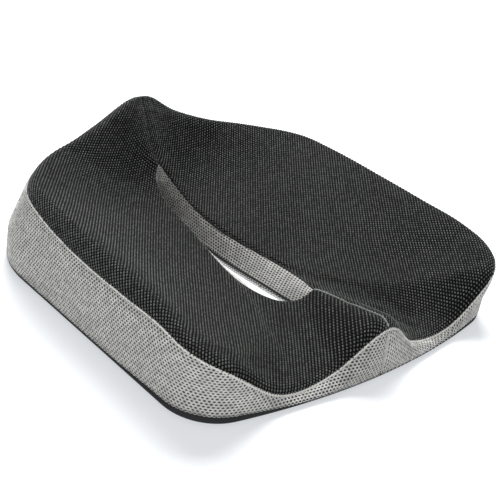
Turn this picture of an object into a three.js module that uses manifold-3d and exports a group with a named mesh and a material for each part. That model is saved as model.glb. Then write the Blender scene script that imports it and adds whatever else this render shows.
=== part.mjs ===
// A moulded foam seat cushion in a sewn spacer-mesh cover, in millimetres.
//
// Frame: origin under the middle of the cushion, on the surface it lies on. +Z is up, the sitter
// faces -Y, and the cushion is mirrored about the plane x = 0.
//
// Every soft piece is a slice of one shape. The cushion is cut by a fan of upright sections that
// run from the through slot to the outer edge, and each layer of fabric or foam is the same
// section moved inwards by its depth below the skin.
import * as THREE from "three";
import { mergeVertices } from "three/addons/utils/BufferGeometryUtils.js";
import Module from "manifold-3d";

// ---------------------------------------------------------------- overall sizes
const WIDTH = 446; // side to side, at the base
const DEPTH = 446; // front to back, at the base
const FRONT_EDGE_RADIUS = 900; // the slightly bowed front edge, in plan
const FRONT_CORNER_RADIUS = 54;
const BACK_EDGE_RADIUS = 520; // the bowed back edge, in plan, which the zip follows
const BACK_CORNER_RADIUS = 110;

// ---------------------------------------------------------------- heights round the edge
// One value for each of the stations, which are evenly spaced along the right-hand half of the
// outline from the front centre to the back centre.
const SEAM_HEIGHT = [55, 17, 15, 60, 76, 75, 75, 79, 86, 91, 97, 111, 134];
const RIM_RISE = [9, 5, 5, 7, 12, 18, 20, 17, 12, 7, 5, 4, 4]; // rim above the seam
const SEAM_INSET = [3, 11, 5, -6, -2, 0, 1, 4, 12, 23, 18, 6, 0]; // seam inside the base edge
const SEAT_CURVE = [0.75, 1.3, 1.5, 1.7, 1.7, 1.6, 1.6, 1.6, 1.7, 1.8, 1.8, 1.7, 1.6];
const RIM_WIDTH = 14; // from the top of the rim out to the seam
const WALL_FOOT = 34; // the wall stands upright to this height, then leans in to the seam

// ---------------------------------------------------------------- the slot
// The point of the slot's upper edge that each station's section starts from.
const SLOT_HALF_WIDTH = [0, 13, 23, 29, 31, 28, 23, 18, 15, 14, 12, 7, 0];
const SLOT_Y = [110, 115, 128, 150, 180, 212, 246, 280, 312, 342, 364, 379, 385];
const SLOT_HEIGHT = [45, 34, 28, 25, 24, 24, 26, 29, 34, 41, 51, 63, 73];
const SLOT_TAPER = [8, 10, 16, 22, 25, 20, 14, 10, 8, 7, 7, 7, 6]; // narrower at the bottom

// ---------------------------------------------------------------- layers
const COVER_THICKNESS = 3.2; // spacer mesh
const BASE_THICKNESS = 1.6; // grip fabric
const LINER_THICKNESS = 0.6;
const LAYER_GAP = 0.35; // between one layer and the next
const LINER_LAP = 12; // the open lap of the liner, under the foam
const HEM_HEIGHT = 6; // how far the base fabric turns up the wall
const HEM_GAP = 0.7; // between the turned-up hem and the bands
const SLOT_HEM = 2; // the base fabric stops this short of the slot's bottom edge
const BINDING_WIDTH = 2.6; // round the slot's bottom edge
const BINDING_THICKNESS = 0.6;
const SEAM_TAPE_WIDTH = 2.4;
const SEAM_TAPE_PROUD = 0.5;
const SEAM_GAP = 0.35; // between two sewn edges

// ---------------------------------------------------------------- the zip
const ZIP_LENGTH = 250; // along the arc, end stop to end stop
const ZIP_HEIGHT = 21; // middle of the chain above the base
const CHAIN_WIDTH = 5.4;
const CHAIN_THICKNESS = 2.2;
const TAPE_WIDTH = 10;
const TAPE_THICKNESS = 0.8;
const STOP_LENGTH = 4;
const SLIDER_LENGTH = 11;
const SLIDER_WALL = 1.5;
const SLIDER_CLEARANCE = 0.45;
const BAIL_WIDTH = 3;
const PULL_LENGTH = 27;
const PULL_WIDTH = 8.4;
const PULL_THICKNESS = 1.5;
const PULL_WINDOW = 7;

// ---------------------------------------------------------------- how finely it is cut
const STATIONS = SEAM_HEIGHT.length - 1;
const SECTIONS = 26; // in each half
const SEAT_STEPS = 5;
const RIM_STEPS = 3;
const WALL_STEPS = 3;

// ---------------------------------------------------------------- the outline, in plan
// Half of the outline is four arcs and lines that meet smoothly: the front edge, the front
// corner, the straight side, the back corner and the back edge.
function arc(centreX, centreY, radius, from, to, steps) {
  return Array.from({ length: steps + 1 }, (_, i) => {
    const angle = from + ((to - from) * i) / steps;
    return [centreX + radius * Math.cos(angle), centreY + radius * Math.sin(angle)];
  });
}

// The centre of a corner arc that touches both the side and an edge arc.
function cornerCentre(edgeRadius, cornerRadius) {
  const x = WIDTH / 2 - cornerRadius;
  const rise = Math.sqrt((edgeRadius - cornerRadius) ** 2 - x ** 2);
  return { x, rise };
}

const ARC_STEPS = 160;
const BACK_CENTRE_Y = DEPTH / 2 - BACK_EDGE_RADIUS; // centre of the back edge's arc
const halfOutline = (() => {
  const frontY = -DEPTH / 2;
  const front = cornerCentre(FRONT_EDGE_RADIUS, FRONT_CORNER_RADIUS);
  const back = cornerCentre(BACK_EDGE_RADIUS, BACK_CORNER_RADIUS);
  const frontCentreY = frontY + FRONT_EDGE_RADIUS;
  const frontCornerY = frontCentreY - front.rise;
  const backCornerY = BACK_CENTRE_Y + back.rise;
  const frontTurn = Math.atan2(-front.rise, front.x);
  const backTurn = Math.atan2(back.rise, back.x);
  const points = [
    ...arc(0, frontCentreY, FRONT_EDGE_RADIUS, -Math.PI / 2, frontTurn, ARC_STEPS),
    ...arc(front.x, frontCornerY, FRONT_CORNER_RADIUS, frontTurn, 0, ARC_STEPS),
    ...arc(back.x, backCornerY, BACK_CORNER_RADIUS, 0, backTurn, ARC_STEPS),
    ...arc(0, BACK_CENTRE_Y, BACK_EDGE_RADIUS, backTurn, Math.PI / 2, ARC_STEPS),
  ];
  const reach = [0];
  for (let i = 1; i < points.length; i++) {
    const [dx, dy] = [points[i][0] - points[i - 1][0], points[i][1] - points[i - 1][1]];
    reach.push(reach[i - 1] + Math.hypot(dx, dy));
  }
  return { points, reach };
})();

// The outline's point at a place from 0, the front centre, to STATIONS, the back centre.
function outlineAt(place) {
  const { points, reach } = halfOutline;
  const want = (place / STATIONS) * reach[reach.length - 1];
  let i = 1;
  while (i < points.length - 1 && reach[i] < want) i++;
  const part = (want - reach[i - 1]) / (reach[i] - reach[i - 1] || 1);
  const mix = (k) => points[i - 1][k] + (points[i][k] - points[i - 1][k]) * part;
  return [mix(0), mix(1)];
}

// A smooth value between the stations. The other half mirrors the values at both ends, with the
// sign turned for a distance from the centre line.
function between(values, place, mirrorSign = 1) {
  const i = Math.min(Math.floor(place), STATIONS - 1);
  const t = place - i;
  const at = (k) => {
    if (k < 0) return mirrorSign * values[-k];
    if (k > STATIONS) return mirrorSign * values[2 * STATIONS - k];
    return values[k];
  };
  const [a, b, c, d] = [at(i - 1), at(i), at(i + 1), at(i + 2)];
  const square = 2 * a - 5 * b + 4 * c - d;
  const cube = 3 * b - a - 3 * c + d;
  return 0.5 * (2 * b + (c - a) * t + square * t * t + cube * t * t * t);
}

// ---------------------------------------------------------------- one section
const TAPE_ROOM = SEAM_TAPE_WIDTH / 2 + SEAM_GAP; // from a taped seam's line to a panel's edge

// Where each line lies, counted along a section's points.
const SLOT_TOP = 2;
const SEAT_START = SLOT_TOP + 1; // inner edge of the top panels
const RIM_TOP = SEAT_START + SEAT_STEPS;
const SEAM = RIM_TOP + RIM_STEPS + 1;
const BAND_START = SEAM + 1; // upper edge of the side bands
const HEM = BAND_START + WALL_STEPS;
const BASE_EDGE = HEM + 1;

// The same two lines, counted along a profile's corners, without the points beside them.
const SLOT_CORNER = 1;
const SEAM_CORNER = SLOT_CORNER + SEAT_STEPS + RIM_STEPS;

// The point a distance from one point towards another.
function towards([x, z], [toX, toZ], distance) {
  const part = distance / Math.hypot(toX - x, toZ - z);
  return [x + (toX - x) * part, z + (toZ - z) * part];
}

// The section's corners as [distance along the ray, height], from the slot's bottom edge up,
// over the seat and rim, and down the wall to the base edge.
function profileAt(place, length) {
  const slotHeight = between(SLOT_HEIGHT, place);
  const seamHeight = between(SEAM_HEIGHT, place);
  const inset = between(SEAM_INSET, place);
  const curve = between(SEAT_CURVE, place);
  const rimHeight = seamHeight + between(RIM_RISE, place);
  const seamAt = length - inset;
  const rimAt = seamAt - RIM_WIDTH;
  const foot = Math.min(WALL_FOOT, seamHeight / 2);

  const slotBottom = [-between(SLOT_TAPER, place), 0];
  const slotTop = [0, slotHeight];
  const seat = Array.from({ length: SEAT_STEPS }, (_, i) => {
    const t = (i + 1) / SEAT_STEPS;
    return [rimAt * t, slotHeight + (rimHeight - slotHeight) * t ** curve];
  });
  const rim = Array.from({ length: RIM_STEPS - 1 }, (_, i) => {
    const t = (i + 1) / RIM_STEPS;
    return [rimAt + RIM_WIDTH * t, rimHeight - (rimHeight - seamHeight) * t ** 2];
  });
  const seam = [seamAt, seamHeight];
  const wall = Array.from({ length: WALL_STEPS }, (_, i) => {
    const height = seamHeight + ((HEM_HEIGHT - seamHeight) * (i + 1)) / WALL_STEPS;
    const lean = Math.max(0, (height - foot) / (seamHeight - foot));
    return [length - inset * lean, height];
  });
  return [slotBottom, slotTop, ...seat, ...rim, seam, ...wall, [length, 0]];
}

// The same corners, with each side moved inwards by a depth.
function sink(profile, depth) {
  const count = profile.length;
  const normals = profile.map(([x, z], i) => {
    const [nextX, nextZ] = profile[(i + 1) % count];
    const length = Math.hypot(nextX - x, nextZ - z);
    return [(nextZ - z) / length, -(nextX - x) / length];
  });
  return profile.map(([x, z], i) => {
    const [before, after] = [normals[(i + count - 1) % count], normals[i]];
    const dot = before[0] * after[0] + before[1] * after[1];
    const scale = depth / (1 + dot);
    return [x + (before[0] + after[0]) * scale, z + (before[1] + after[1]) * scale];
  });
}

// A sunk profile with a point on each side of the slot's top edge and of the seam, where the
// cover's panels end. These two sink along with their corner, so they keep their distance.
function withPanelEdges(profile, sunk) {
  const taped = [SLOT_CORNER, SEAM_CORNER];
  return profile.flatMap((corner, i) => {
    if (!taped.includes(i)) return [sunk[i]];
    const shift = ([x, z]) => [x + sunk[i][0] - corner[0], z + sunk[i][1] - corner[1]];
    const before = shift(towards(corner, profile[i - 1], TAPE_ROOM));
    const after = shift(towards(corner, profile[i + 1], TAPE_ROOM));
    return [before, sunk[i], after];
  });
}

// Each section of the cushion, at a depth below the skin: all the way round, or one half.
// Point k of every section lies on the same line round the cushion.
function sectionAt(place, side, depth) {
  const [edgeX, edgeY] = outlineAt(place);
  const slotX = between(SLOT_HALF_WIDTH, place, -1);
  const slotY = between(SLOT_Y, place) - DEPTH / 2;
  const length = Math.hypot(edgeX - slotX, edgeY - slotY);
  const [rayX, rayY] = [(edgeX - slotX) / length, (edgeY - slotY) / length];
  const profile = profileAt(place, length);
  return withPanelEdges(profile, sink(profile, depth)).map(
    ([along, height]) =>
      new THREE.Vector3(side * (slotX + rayX * along), slotY + rayY * along, height),
  );
}

function placesOfHalf() {
  return Array.from({ length: SECTIONS + 1 }, (_, i) => (i * STATIONS) / SECTIONS);
}

function halfSections(side, depth) {
  return placesOfHalf().map((place) => sectionAt(place, side, depth));
}

function ringSections(depth) {
  const right = halfSections(1, depth);
  const left = halfSections(-1, depth).slice(1, -1).reverse();
  return [...right, ...left];
}

// ---------------------------------------------------------------- solids
// A closed solid swept through a row of loops, which have as many points each. A ring joins its
// last loop to its first; otherwise both ends are capped. A folded loop runs out along one face
// of a sheet and back along the other, so point k lies opposite point count - 1 - k and the caps
// are rungs across it. Every four-sided patch is split along the diagonal that the layers above
// and below it are split along, so that layers nest however much the patch is twisted: it turns
// round on the way back, and on the second half of a ring, which mirrors the first.
function sweep(loops, isRing, isFolded = true) {
  const count = loops[0].length;
  const positions = loops.flat().flatMap((point) => [point.x, point.y, point.z]);
  const faces = [];
  const rows = isRing ? loops.length : loops.length - 1;
  for (let i = 0; i < rows; i++) {
    const [row, next] = [i * count, ((i + 1) % loops.length) * count];
    const isMirrored = isRing && i >= rows / 2;
    for (let k = 0; k < count; k++) {
      const after = (k + 1) % count;
      const isWayBack = isFolded && k >= count / 2;
      const [a, b, c, d] = [row + k, next + k, next + after, row + after];
      if (isMirrored !== isWayBack) faces.push(a, b, d, b, c, d);
      else faces.push(a, b, c, a, c, d);
    }
  }
  if (!isRing) {
    const last = (loops.length - 1) * count;
    for (let k = 0; k < count / 2 - 1; k++) {
      const far = count - 1 - k;
      faces.push(k, k + 1, far - 1, k, far - 1, far);
      faces.push(last + k, last + far - 1, last + k + 1, last + k, last + far, last + far - 1);
    }
  }
  const geometry = new THREE.BufferGeometry();
  geometry.setAttribute("position", new THREE.Float32BufferAttribute(positions, 3));
  geometry.setIndex(faces);
  return faceOutwards(geometry);
}

function signedVolume(geometry) {
  const place = geometry.getAttribute("position");
  const index = geometry.getIndex();
  const corner = [0, 1, 2].map(() => new THREE.Vector3());
  let volume = 0;
  for (let i = 0; i < index.count; i += 3) {
    corner.forEach((point, k) => point.fromBufferAttribute(place, index.getX(i + k)));
    volume += corner[0].dot(corner[1].clone().cross(corner[2])) / 6;
  }
  return volume;
}

function faceOutwards(geometry) {
  if (signedVolume(geometry) < 0) {
    const faces = geometry.getIndex();
    for (let i = 0; i < faces.count; i += 3) {
      const [b, c] = [faces.getX(i + 1), faces.getX(i + 2)];
      faces.setX(i + 1, c);
      faces.setX(i + 2, b);
    }
  }
  geometry.computeVertexNormals();
  return geometry;
}

// The run of a section from one point to another, shortened at each end.
function run(section, from, to, trimStart, trimEnd) {
  const points = [];
  for (let k = from; k <= to; k++) points.push(section[k % section.length].clone());
  const shorten = (end, neighbour, trim) => {
    const reach = end.distanceTo(neighbour);
    end.lerp(neighbour, trim / reach);
  };
  shorten(points[0], points[1].clone(), trimStart);
  shorten(points[points.length - 1], points[points.length - 2].clone(), trimEnd);
  return points;
}

// A sheet of a thickness that covers a stretch of the skin. The rows are the sections at its
// outer and inner depth.
function sheet({ rowsAt, from, to, depth = 0, thickness, trimStart = 0, trimEnd = 0, isRing }) {
  const outer = rowsAt(depth);
  const inner = rowsAt(depth + thickness);
  const loops = outer.map((section, i) => [
    ...run(section, from, to, trimStart, trimEnd),
    ...run(inner[i], from, to, trimStart, trimEnd).reverse(),
  ]);
  return sweep(loops, isRing);
}

// The rows of one half, pulled back from the centre plane by a distance, along its own skin.
function pulledBack(side, distance) {
  return (depth) => {
    const rows = halfSections(side, depth);
    const pull = (row, next) =>
      row.forEach((point, k) => point.lerp(next[k], distance / Math.abs(next[k].x)));
    pull(rows[0], rows[1]);
    pull(rows[rows.length - 1], rows[rows.length - 2]);
    return rows;
  };
}

// ---------------------------------------------------------------- foam and liner
const FOAM_DEPTH = COVER_THICKNESS + LAYER_GAP + LINER_THICKNESS + LAYER_GAP;
const LINER_DEPTH = COVER_THICKNESS + LAYER_GAP;

function foamCore() {
  return sweep(ringSections(FOAM_DEPTH), true, false);
}

// The liner wraps the whole section but for a lap under the foam.
function innerLiner() {
  const wrapEnd = BASE_EDGE + 1; // back round to the slot's bottom edge
  return sheet({
    rowsAt: ringSections,
    from: 0,
    to: wrapEnd,
    depth: LINER_DEPTH,
    thickness: LINER_THICKNESS,
    trimStart: SEAM_GAP,
    trimEnd: LINER_LAP,
    isRing: true,
  });
}

// ---------------------------------------------------------------- the cover
// A panel of the cover, over a stretch of every section.
function panel(rowsAt, from, to, isRing) {
  return sheet({ rowsAt, from, to, thickness: COVER_THICKNESS, isRing });
}

const topPanel = (side) => panel(pulledBack(side, TAPE_ROOM), SEAT_START, SEAM - 1, false);
const sideBand = (side) => panel(pulledBack(side, TAPE_ROOM), BAND_START, HEM, false);
const slotLining = () => panel(ringSections, 0, SLOT_TOP - 1, true);

// The base fabric lies under everything from near the slot out to the base edge, and turns up
// the wall as a hem.
function bottomPanel() {
  const faces = [0, BASE_THICKNESS].map((depth) =>
    ringSections(depth).map((section) => {
      const strip = run(section, HEM, BASE_EDGE + 1, 0, SLOT_HEM);
      strip[0].z -= HEM_GAP;
      return strip;
    }),
  );
  return sweep(
    faces[0].map((strip, i) => [...strip, ...faces[1][i].reverse()]),
    true,
  );
}

// A narrow tape over a seam, standing a little proud of the skin.
function seamRing(index, width) {
  const proud = ringSections(-SEAM_TAPE_PROUD);
  const under = ringSections(COVER_THICKNESS / 2);
  const loops = proud.map((section, i) => {
    const around = (row) => {
      const [before, at, after] = [row[index - 1], row[index], row[index + 1]];
      const start = at.clone().lerp(before, width / 2 / at.distanceTo(before));
      const end = at.clone().lerp(after, width / 2 / at.distanceTo(after));
      return [start, at.clone(), end];
    };
    return [...around(section), ...around(under[i]).reverse()];
  });
  return sweep(loops, true);
}

// A binding sewn over the lining's bottom edge, inside the slot.
function slotBinding() {
  const proud = BINDING_THICKNESS + LAYER_GAP;
  const [outer, inner] = [-proud, -LAYER_GAP].map(ringSections);
  const ends = (row) =>
    [2 * proud, 2 * proud + BINDING_WIDTH].map((reach) =>
      row[0].clone().lerp(row[1], reach / row[0].distanceTo(row[1])),
    );
  const loops = outer.map((section, i) => [...ends(section), ...ends(inner[i]).reverse()]);
  return sweep(loops, true);
}

// A tape down a centre seam, at one end of the half outline, over a stretch of the section.
function centreSeam(place, from, to, trimStart, trimEnd) {
  const half = SEAM_TAPE_WIDTH / 2;
  const across = (depth) => {
    const points = run(sectionAt(place, 1, depth), from, to, trimStart, trimEnd);
    return points;
  };
  const outer = across(-SEAM_TAPE_PROUD);
  const inner = across(COVER_THICKNESS / 2);
  const loops = outer.map((point, i) => [
    point.clone().setX(-half),
    point.clone().setX(half),
    inner[i].clone().setX(half),
    inner[i].clone().setX(-half),
  ]);
  return sweep(loops, false);
}

// ---------------------------------------------------------------- the zip
// Everything on the zip is bent round the centre of the back edge's arc, so the slider runs on
// a hinge about that centre.
const SKIN_GAP = 0.3; // between the cover's outer face and the tapes
const ZIP_INNER = BACK_EDGE_RADIUS + SKIN_GAP;
const ZIP_HALF_ANGLE = ZIP_LENGTH / 2 / BACK_EDGE_RADIUS;
const CHAIN_STEPS = 20;
const CHAIN_TOP = ZIP_HEIGHT + CHAIN_WIDTH / 2;
const CHAIN_BOTTOM = ZIP_HEIGHT - CHAIN_WIDTH / 2;
const TAPE_HIGH = CHAIN_TOP + LAYER_GAP + TAPE_WIDTH;
const TAPE_LOW = CHAIN_BOTTOM - LAYER_GAP - TAPE_WIDTH;

// A point at an angle from the back centre, towards +X, at a radius and a height.
function onArc(angle, radius, height) {
  return new THREE.Vector3(
    radius * Math.sin(angle),
    BACK_CENTRE_Y + radius * Math.cos(angle),
    height,
  );
}

// A bar of a rectangular section bent round the back.
function bentBar(fromAngle, toAngle, innerRadius, outerRadius, low, high, steps) {
  const loops = Array.from({ length: steps + 1 }, (_, i) => {
    const angle = fromAngle + ((toAngle - fromAngle) * i) / steps;
    return [
      onArc(angle, innerRadius, low),
      onArc(angle, outerRadius, low),
      onArc(angle, outerRadius, high),
      onArc(angle, innerRadius, high),
    ];
  });
  return sweep(loops, false);
}

const TAPE_OUTER = ZIP_INNER + TAPE_THICKNESS;
const CHAIN_OUTER = ZIP_INNER + CHAIN_THICKNESS;
const STOP_ANGLE = STOP_LENGTH / BACK_EDGE_RADIUS;
const TAPE_HALF_ANGLE = ZIP_HALF_ANGLE + STOP_ANGLE;
const SLIDER_HALF_ANGLE = SLIDER_LENGTH / 2 / BACK_EDGE_RADIUS;
const SLIDER_ANGLE = ZIP_HALF_ANGLE - STOP_ANGLE - SLIDER_HALF_ANGLE * 1.2;

function zipTape(low, high) {
  return bentBar(-TAPE_HALF_ANGLE, TAPE_HALF_ANGLE, ZIP_INNER, TAPE_OUTER, low, high, CHAIN_STEPS);
}

function zipStop(side) {
  const near = side * (ZIP_HALF_ANGLE - STOP_ANGLE / 2);
  const far = side * (ZIP_HALF_ANGLE + STOP_ANGLE / 2);
  const [low, high] = [CHAIN_BOTTOM, CHAIN_TOP];
  return bentBar(near, far, ZIP_INNER, CHAIN_OUTER + SLIDER_WALL / 2, low, high, 1);
}

function zipChain() {
  const end = ZIP_HALF_ANGLE - STOP_ANGLE / 2 - SEAM_GAP / BACK_EDGE_RADIUS;
  return bentBar(-end, end, ZIP_INNER, CHAIN_OUTER, CHAIN_BOTTOM, CHAIN_TOP, CHAIN_STEPS);
}

// The slider is a channel over the chain: a plate outside it and a flange over each edge. Its
// bail is an arch on the plate. It is drawn flat, with x along the zip, y out of the wall and z
// up, then moved to its place on the arc.
const PLATE_INNER = CHAIN_OUTER + SLIDER_CLEARANCE - BACK_EDGE_RADIUS;
const PLATE_OUTER = PLATE_INNER + SLIDER_WALL;
const FLANGE_INNER = TAPE_OUTER + SLIDER_CLEARANCE - BACK_EDGE_RADIUS;
const CHANNEL_HALF = CHAIN_WIDTH / 2 + SLIDER_CLEARANCE;
const SLIDER_HALF_HEIGHT = CHANNEL_HALF + SLIDER_WALL;
const BAR_RADIUS = PULL_THICKNESS / 2;
const PIVOT_OUT = PLATE_OUTER + SLIDER_CLEARANCE + BAR_RADIUS; // pull's pivot, out from the arc
const BAIL_INNER_HALF = BAR_RADIUS + SLIDER_CLEARANCE + 0.3;
const BAIL_WALL = 1.1;
const BAIL_TOP = PIVOT_OUT + BAR_RADIUS + SLIDER_CLEARANCE + BAIL_WALL;

// A flat outline pushed up through a height, standing on z = low.
function upright(shape, low, high) {
  const geometry = new THREE.ExtrudeGeometry(shape, {
    depth: high - low,
    bevelEnabled: false,
    curveSegments: 6,
  });
  return geometry.translate(0, 0, low);
}

function outlineShape(points) {
  return new THREE.Shape(points.map(([x, y]) => new THREE.Vector2(x, y)));
}

const wasm = await Module();
wasm.setup();

function toSolid(geometry) {
  const bare = geometry.clone();
  bare.deleteAttribute("normal");
  bare.deleteAttribute("uv");
  const merged = mergeVertices(bare, 1e-4);
  return new wasm.Manifold(
    new wasm.Mesh({
      numProp: 3,
      vertProperties: merged.getAttribute("position").array,
      triVerts: new Uint32Array(merged.getIndex().array),
    }),
  );
}

function toGeometry(solid) {
  const mesh = solid.getMesh();
  const geometry = new THREE.BufferGeometry();
  geometry.setAttribute("position", new THREE.BufferAttribute(mesh.vertProperties, 3));
  geometry.setIndex(new THREE.BufferAttribute(mesh.triVerts, 1));
  geometry.computeVertexNormals();
  return geometry;
}

function join(geometries) {
  return toGeometry(geometries.map(toSolid).reduce((whole, piece) => whole.add(piece)));
}

function zipSlider() {
  const half = SLIDER_LENGTH / 2;
  const box = (low, high, inner, outer) =>
    upright(
      outlineShape([
        [-half, inner],
        [half, inner],
        [half, outer],
        [-half, outer],
      ]),
      low,
      high,
    );
  const plate = box(-SLIDER_HALF_HEIGHT, SLIDER_HALF_HEIGHT, PLATE_INNER, PLATE_OUTER);
  const lower = box(-SLIDER_HALF_HEIGHT, -CHANNEL_HALF, FLANGE_INNER, PLATE_OUTER);
  const upper = box(CHANNEL_HALF, SLIDER_HALF_HEIGHT, FLANGE_INNER, PLATE_OUTER);
  const arch = outlineShape([
    [-BAIL_INNER_HALF - BAIL_WALL, PLATE_OUTER - 0.2],
    [-BAIL_INNER_HALF, PLATE_OUTER - 0.2],
    [-BAIL_INNER_HALF, BAIL_TOP - BAIL_WALL],
    [BAIL_INNER_HALF, BAIL_TOP - BAIL_WALL],
    [BAIL_INNER_HALF, PLATE_OUTER - 0.2],
    [BAIL_INNER_HALF + BAIL_WALL, PLATE_OUTER - 0.2],
    [BAIL_INNER_HALF + BAIL_WALL, BAIL_TOP - BAIL_WALL / 2],
    [BAIL_INNER_HALF, BAIL_TOP],
    [-BAIL_INNER_HALF, BAIL_TOP],
    [-BAIL_INNER_HALF - BAIL_WALL, BAIL_TOP - BAIL_WALL / 2],
  ]);
  const bail = upright(arch, -BAIL_WIDTH / 2, BAIL_WIDTH / 2);
  return join([plate, lower, upper, bail]);
}

// The pull is a flat tab with a window at its root. The window's end bar lies under the bail,
// and the pull turns about that bar. It is drawn in the plane of the tape, x along and y up.
function zipPull() {
  const half = PULL_WIDTH / 2;
  const root = half * 0.72;
  const round = new THREE.Shape();
  round.moveTo(BAR_RADIUS, -root);
  round.lineTo(BAR_RADIUS, root);
  round.lineTo(-PULL_WINDOW, half);
  round.lineTo(-PULL_LENGTH + half, half);
  round.absarc(-PULL_LENGTH + half, 0, half, Math.PI / 2, (3 * Math.PI) / 2, false);
  round.lineTo(-PULL_WINDOW, -half);
  round.lineTo(BAR_RADIUS, -root);
  const window = new THREE.Path();
  const windowHalf = BAIL_WIDTH / 2 + SLIDER_CLEARANCE;
  window.moveTo(-BAR_RADIUS, -windowHalf);
  window.lineTo(-BAR_RADIUS, windowHalf);
  window.lineTo(-PULL_WINDOW, windowHalf);
  window.lineTo(-PULL_WINDOW, -windowHalf);
  window.lineTo(-BAR_RADIUS, -windowHalf);
  round.holes.push(window);
  const flat = upright(round, -BAR_RADIUS, BAR_RADIUS);
  return flat.rotateX(Math.PI / 2);
}

// ---------------------------------------------------------------- the finished assembly
const FABRIC = { roughness: 0.95, metalness: 0 };
const finishes = {
  charcoal: { ...FABRIC, color: 0x2d2f2e },
  grey: { ...FABRIC, color: 0xa9a8a3 },
  pale: { ...FABRIC, color: 0xd6d5d0 },
  grip: { ...FABRIC, color: 0x131313 },
  liner: { ...FABRIC, color: 0xe9e7e1 },
  foam: { ...FABRIC, color: 0xe8dfc6 },
  zipTape: { ...FABRIC, color: 0x1b1b1b },
  coil: { color: 0x242424, roughness: 0.5, metalness: 0 },
  metal: { color: 0x5a5a5c, roughness: 0.35, metalness: 0.9 },
};

function piece(name, geometry, finish) {
  const mesh = new THREE.Mesh(geometry, new THREE.MeshStandardMaterial(finishes[finish]));
  mesh.name = name;
  return mesh;
}

// The zip stands further out behind than the seam tape does in front, so the sections' frame is
// set back a little to keep the origin under the middle of the whole object.
const cushion = new THREE.Group();
cushion.position.y = (SEAM_TAPE_PROUD - SKIN_GAP - CHAIN_THICKNESS) / 2;
cushion.add(piece("foam_core", foamCore(), "foam"));
cushion.add(piece("inner_liner", innerLiner(), "liner"));
cushion.add(piece("bottom_panel", bottomPanel(), "grip"));
cushion.add(piece("slot_lining", slotLining(), "grey"));
for (const [label, side] of [
  ["left", -1],
  ["right", 1],
]) {
  cushion.add(piece("top_panel_" + label, topPanel(side), "charcoal"));
  cushion.add(piece("side_band_" + label, sideBand(side), "grey"));
  cushion.add(piece("zip_stop_" + label, zipStop(side), "metal"));
}
cushion.add(piece("top_edge_tape", seamRing(SEAM, SEAM_TAPE_WIDTH), "pale"));
cushion.add(piece("slot_top_seam", seamRing(SLOT_TOP, SEAM_TAPE_WIDTH), "charcoal"));
cushion.add(piece("slot_bottom_binding", slotBinding(), "grip"));

const aboveZip = TAPE_HIGH + SEAM_GAP - HEM_HEIGHT;
for (const [label, place, bandTrim] of [
  ["front", 0, SEAM_GAP],
  ["back", STATIONS, aboveZip],
]) {
  const topSeam = centreSeam(place, SEAT_START, SEAM - 1, SEAM_GAP, SEAM_GAP);
  const bandSeam = centreSeam(place, BAND_START, HEM, SEAM_GAP, bandTrim);
  cushion.add(piece("top_seam_" + label, topSeam, "charcoal"));
  cushion.add(piece("band_seam_" + label, bandSeam, "grey"));
}

cushion.add(piece("zip_tape_upper", zipTape(TAPE_HIGH - TAPE_WIDTH, TAPE_HIGH), "zipTape"));
cushion.add(piece("zip_tape_lower", zipTape(TAPE_LOW, TAPE_LOW + TAPE_WIDTH), "zipTape"));
cushion.add(piece("zip_chain", zipChain(), "coil"));

const slide = new THREE.Group();
slide.position.set(0, BACK_CENTRE_Y, ZIP_HEIGHT);
slide.rotation.z = -SLIDER_ANGLE;
const carriage = new THREE.Group();
carriage.position.y = BACK_EDGE_RADIUS;
carriage.add(piece("zip_slider", zipSlider(), "metal"));
const pull = piece("zip_pull", zipPull(), "metal");
pull.position.y = PIVOT_OUT;
carriage.add(pull);
slide.add(carriage);
cushion.add(slide);

const part = new THREE.Group();
part.add(cushion);
export default part;
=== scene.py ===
# %% [markdown]
# # A foam seat cushion in a sewn spacer-mesh cover
# This lesson dresses a plain CAD model of a seat cushion in cloth. The real object is one block of
# moulded foam with a long slot through it, in a zip-off cover: charcoal mesh on top, a light grey
# mesh wall, and a black grip fabric underneath. The CAD model already has every piece in its
# place, so the lesson loads it as a fixed frame and builds each fabric around it, in metres.

# %% Load the frame
import math

import bmesh
import bpy
import numpy as np
from mathutils import Matrix, Vector


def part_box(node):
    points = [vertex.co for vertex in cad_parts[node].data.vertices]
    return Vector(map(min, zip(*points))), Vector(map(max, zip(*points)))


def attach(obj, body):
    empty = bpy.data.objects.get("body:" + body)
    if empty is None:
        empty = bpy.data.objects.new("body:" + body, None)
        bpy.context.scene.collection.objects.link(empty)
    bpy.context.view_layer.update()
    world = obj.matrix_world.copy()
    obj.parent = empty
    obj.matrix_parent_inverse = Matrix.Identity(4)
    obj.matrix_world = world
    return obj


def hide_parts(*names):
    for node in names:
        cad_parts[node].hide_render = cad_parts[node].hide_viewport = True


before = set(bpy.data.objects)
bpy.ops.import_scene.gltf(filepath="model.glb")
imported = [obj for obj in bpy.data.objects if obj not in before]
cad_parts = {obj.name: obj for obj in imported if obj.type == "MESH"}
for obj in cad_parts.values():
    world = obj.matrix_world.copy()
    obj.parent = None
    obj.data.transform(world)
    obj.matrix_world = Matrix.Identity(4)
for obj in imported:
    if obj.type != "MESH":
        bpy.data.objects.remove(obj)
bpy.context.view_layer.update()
MM = 0.001

# %% [markdown]
# ## The camera
# A product picture of a low, wide thing is taken from above one corner with a longish lens, so
# the far side doesn't shrink much. The camera looks at a point inside the cushion from its front
# left, and is rolled a little, which lays the cushion across the frame on a slant. Its direction
# comes from an azimuth and an elevation, so each of them is one readable number.

# %% Place the camera
CAMERA_AZIMUTH = math.radians(-46.39)
CAMERA_ELEVATION = math.radians(27.20)
CAMERA_ROLL = math.radians(10.36)
CAMERA_DISTANCE = 1.0921
CAMERA_LENS = 70.4  # mm, on a 36 mm sensor
LOOK_AT = Vector((0, -0.014, 0.040))


def linked(name, data):
    """A new object round some data, in the scene."""
    made = bpy.data.objects.new(name, data)
    bpy.context.scene.collection.objects.link(made)
    return made


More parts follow.
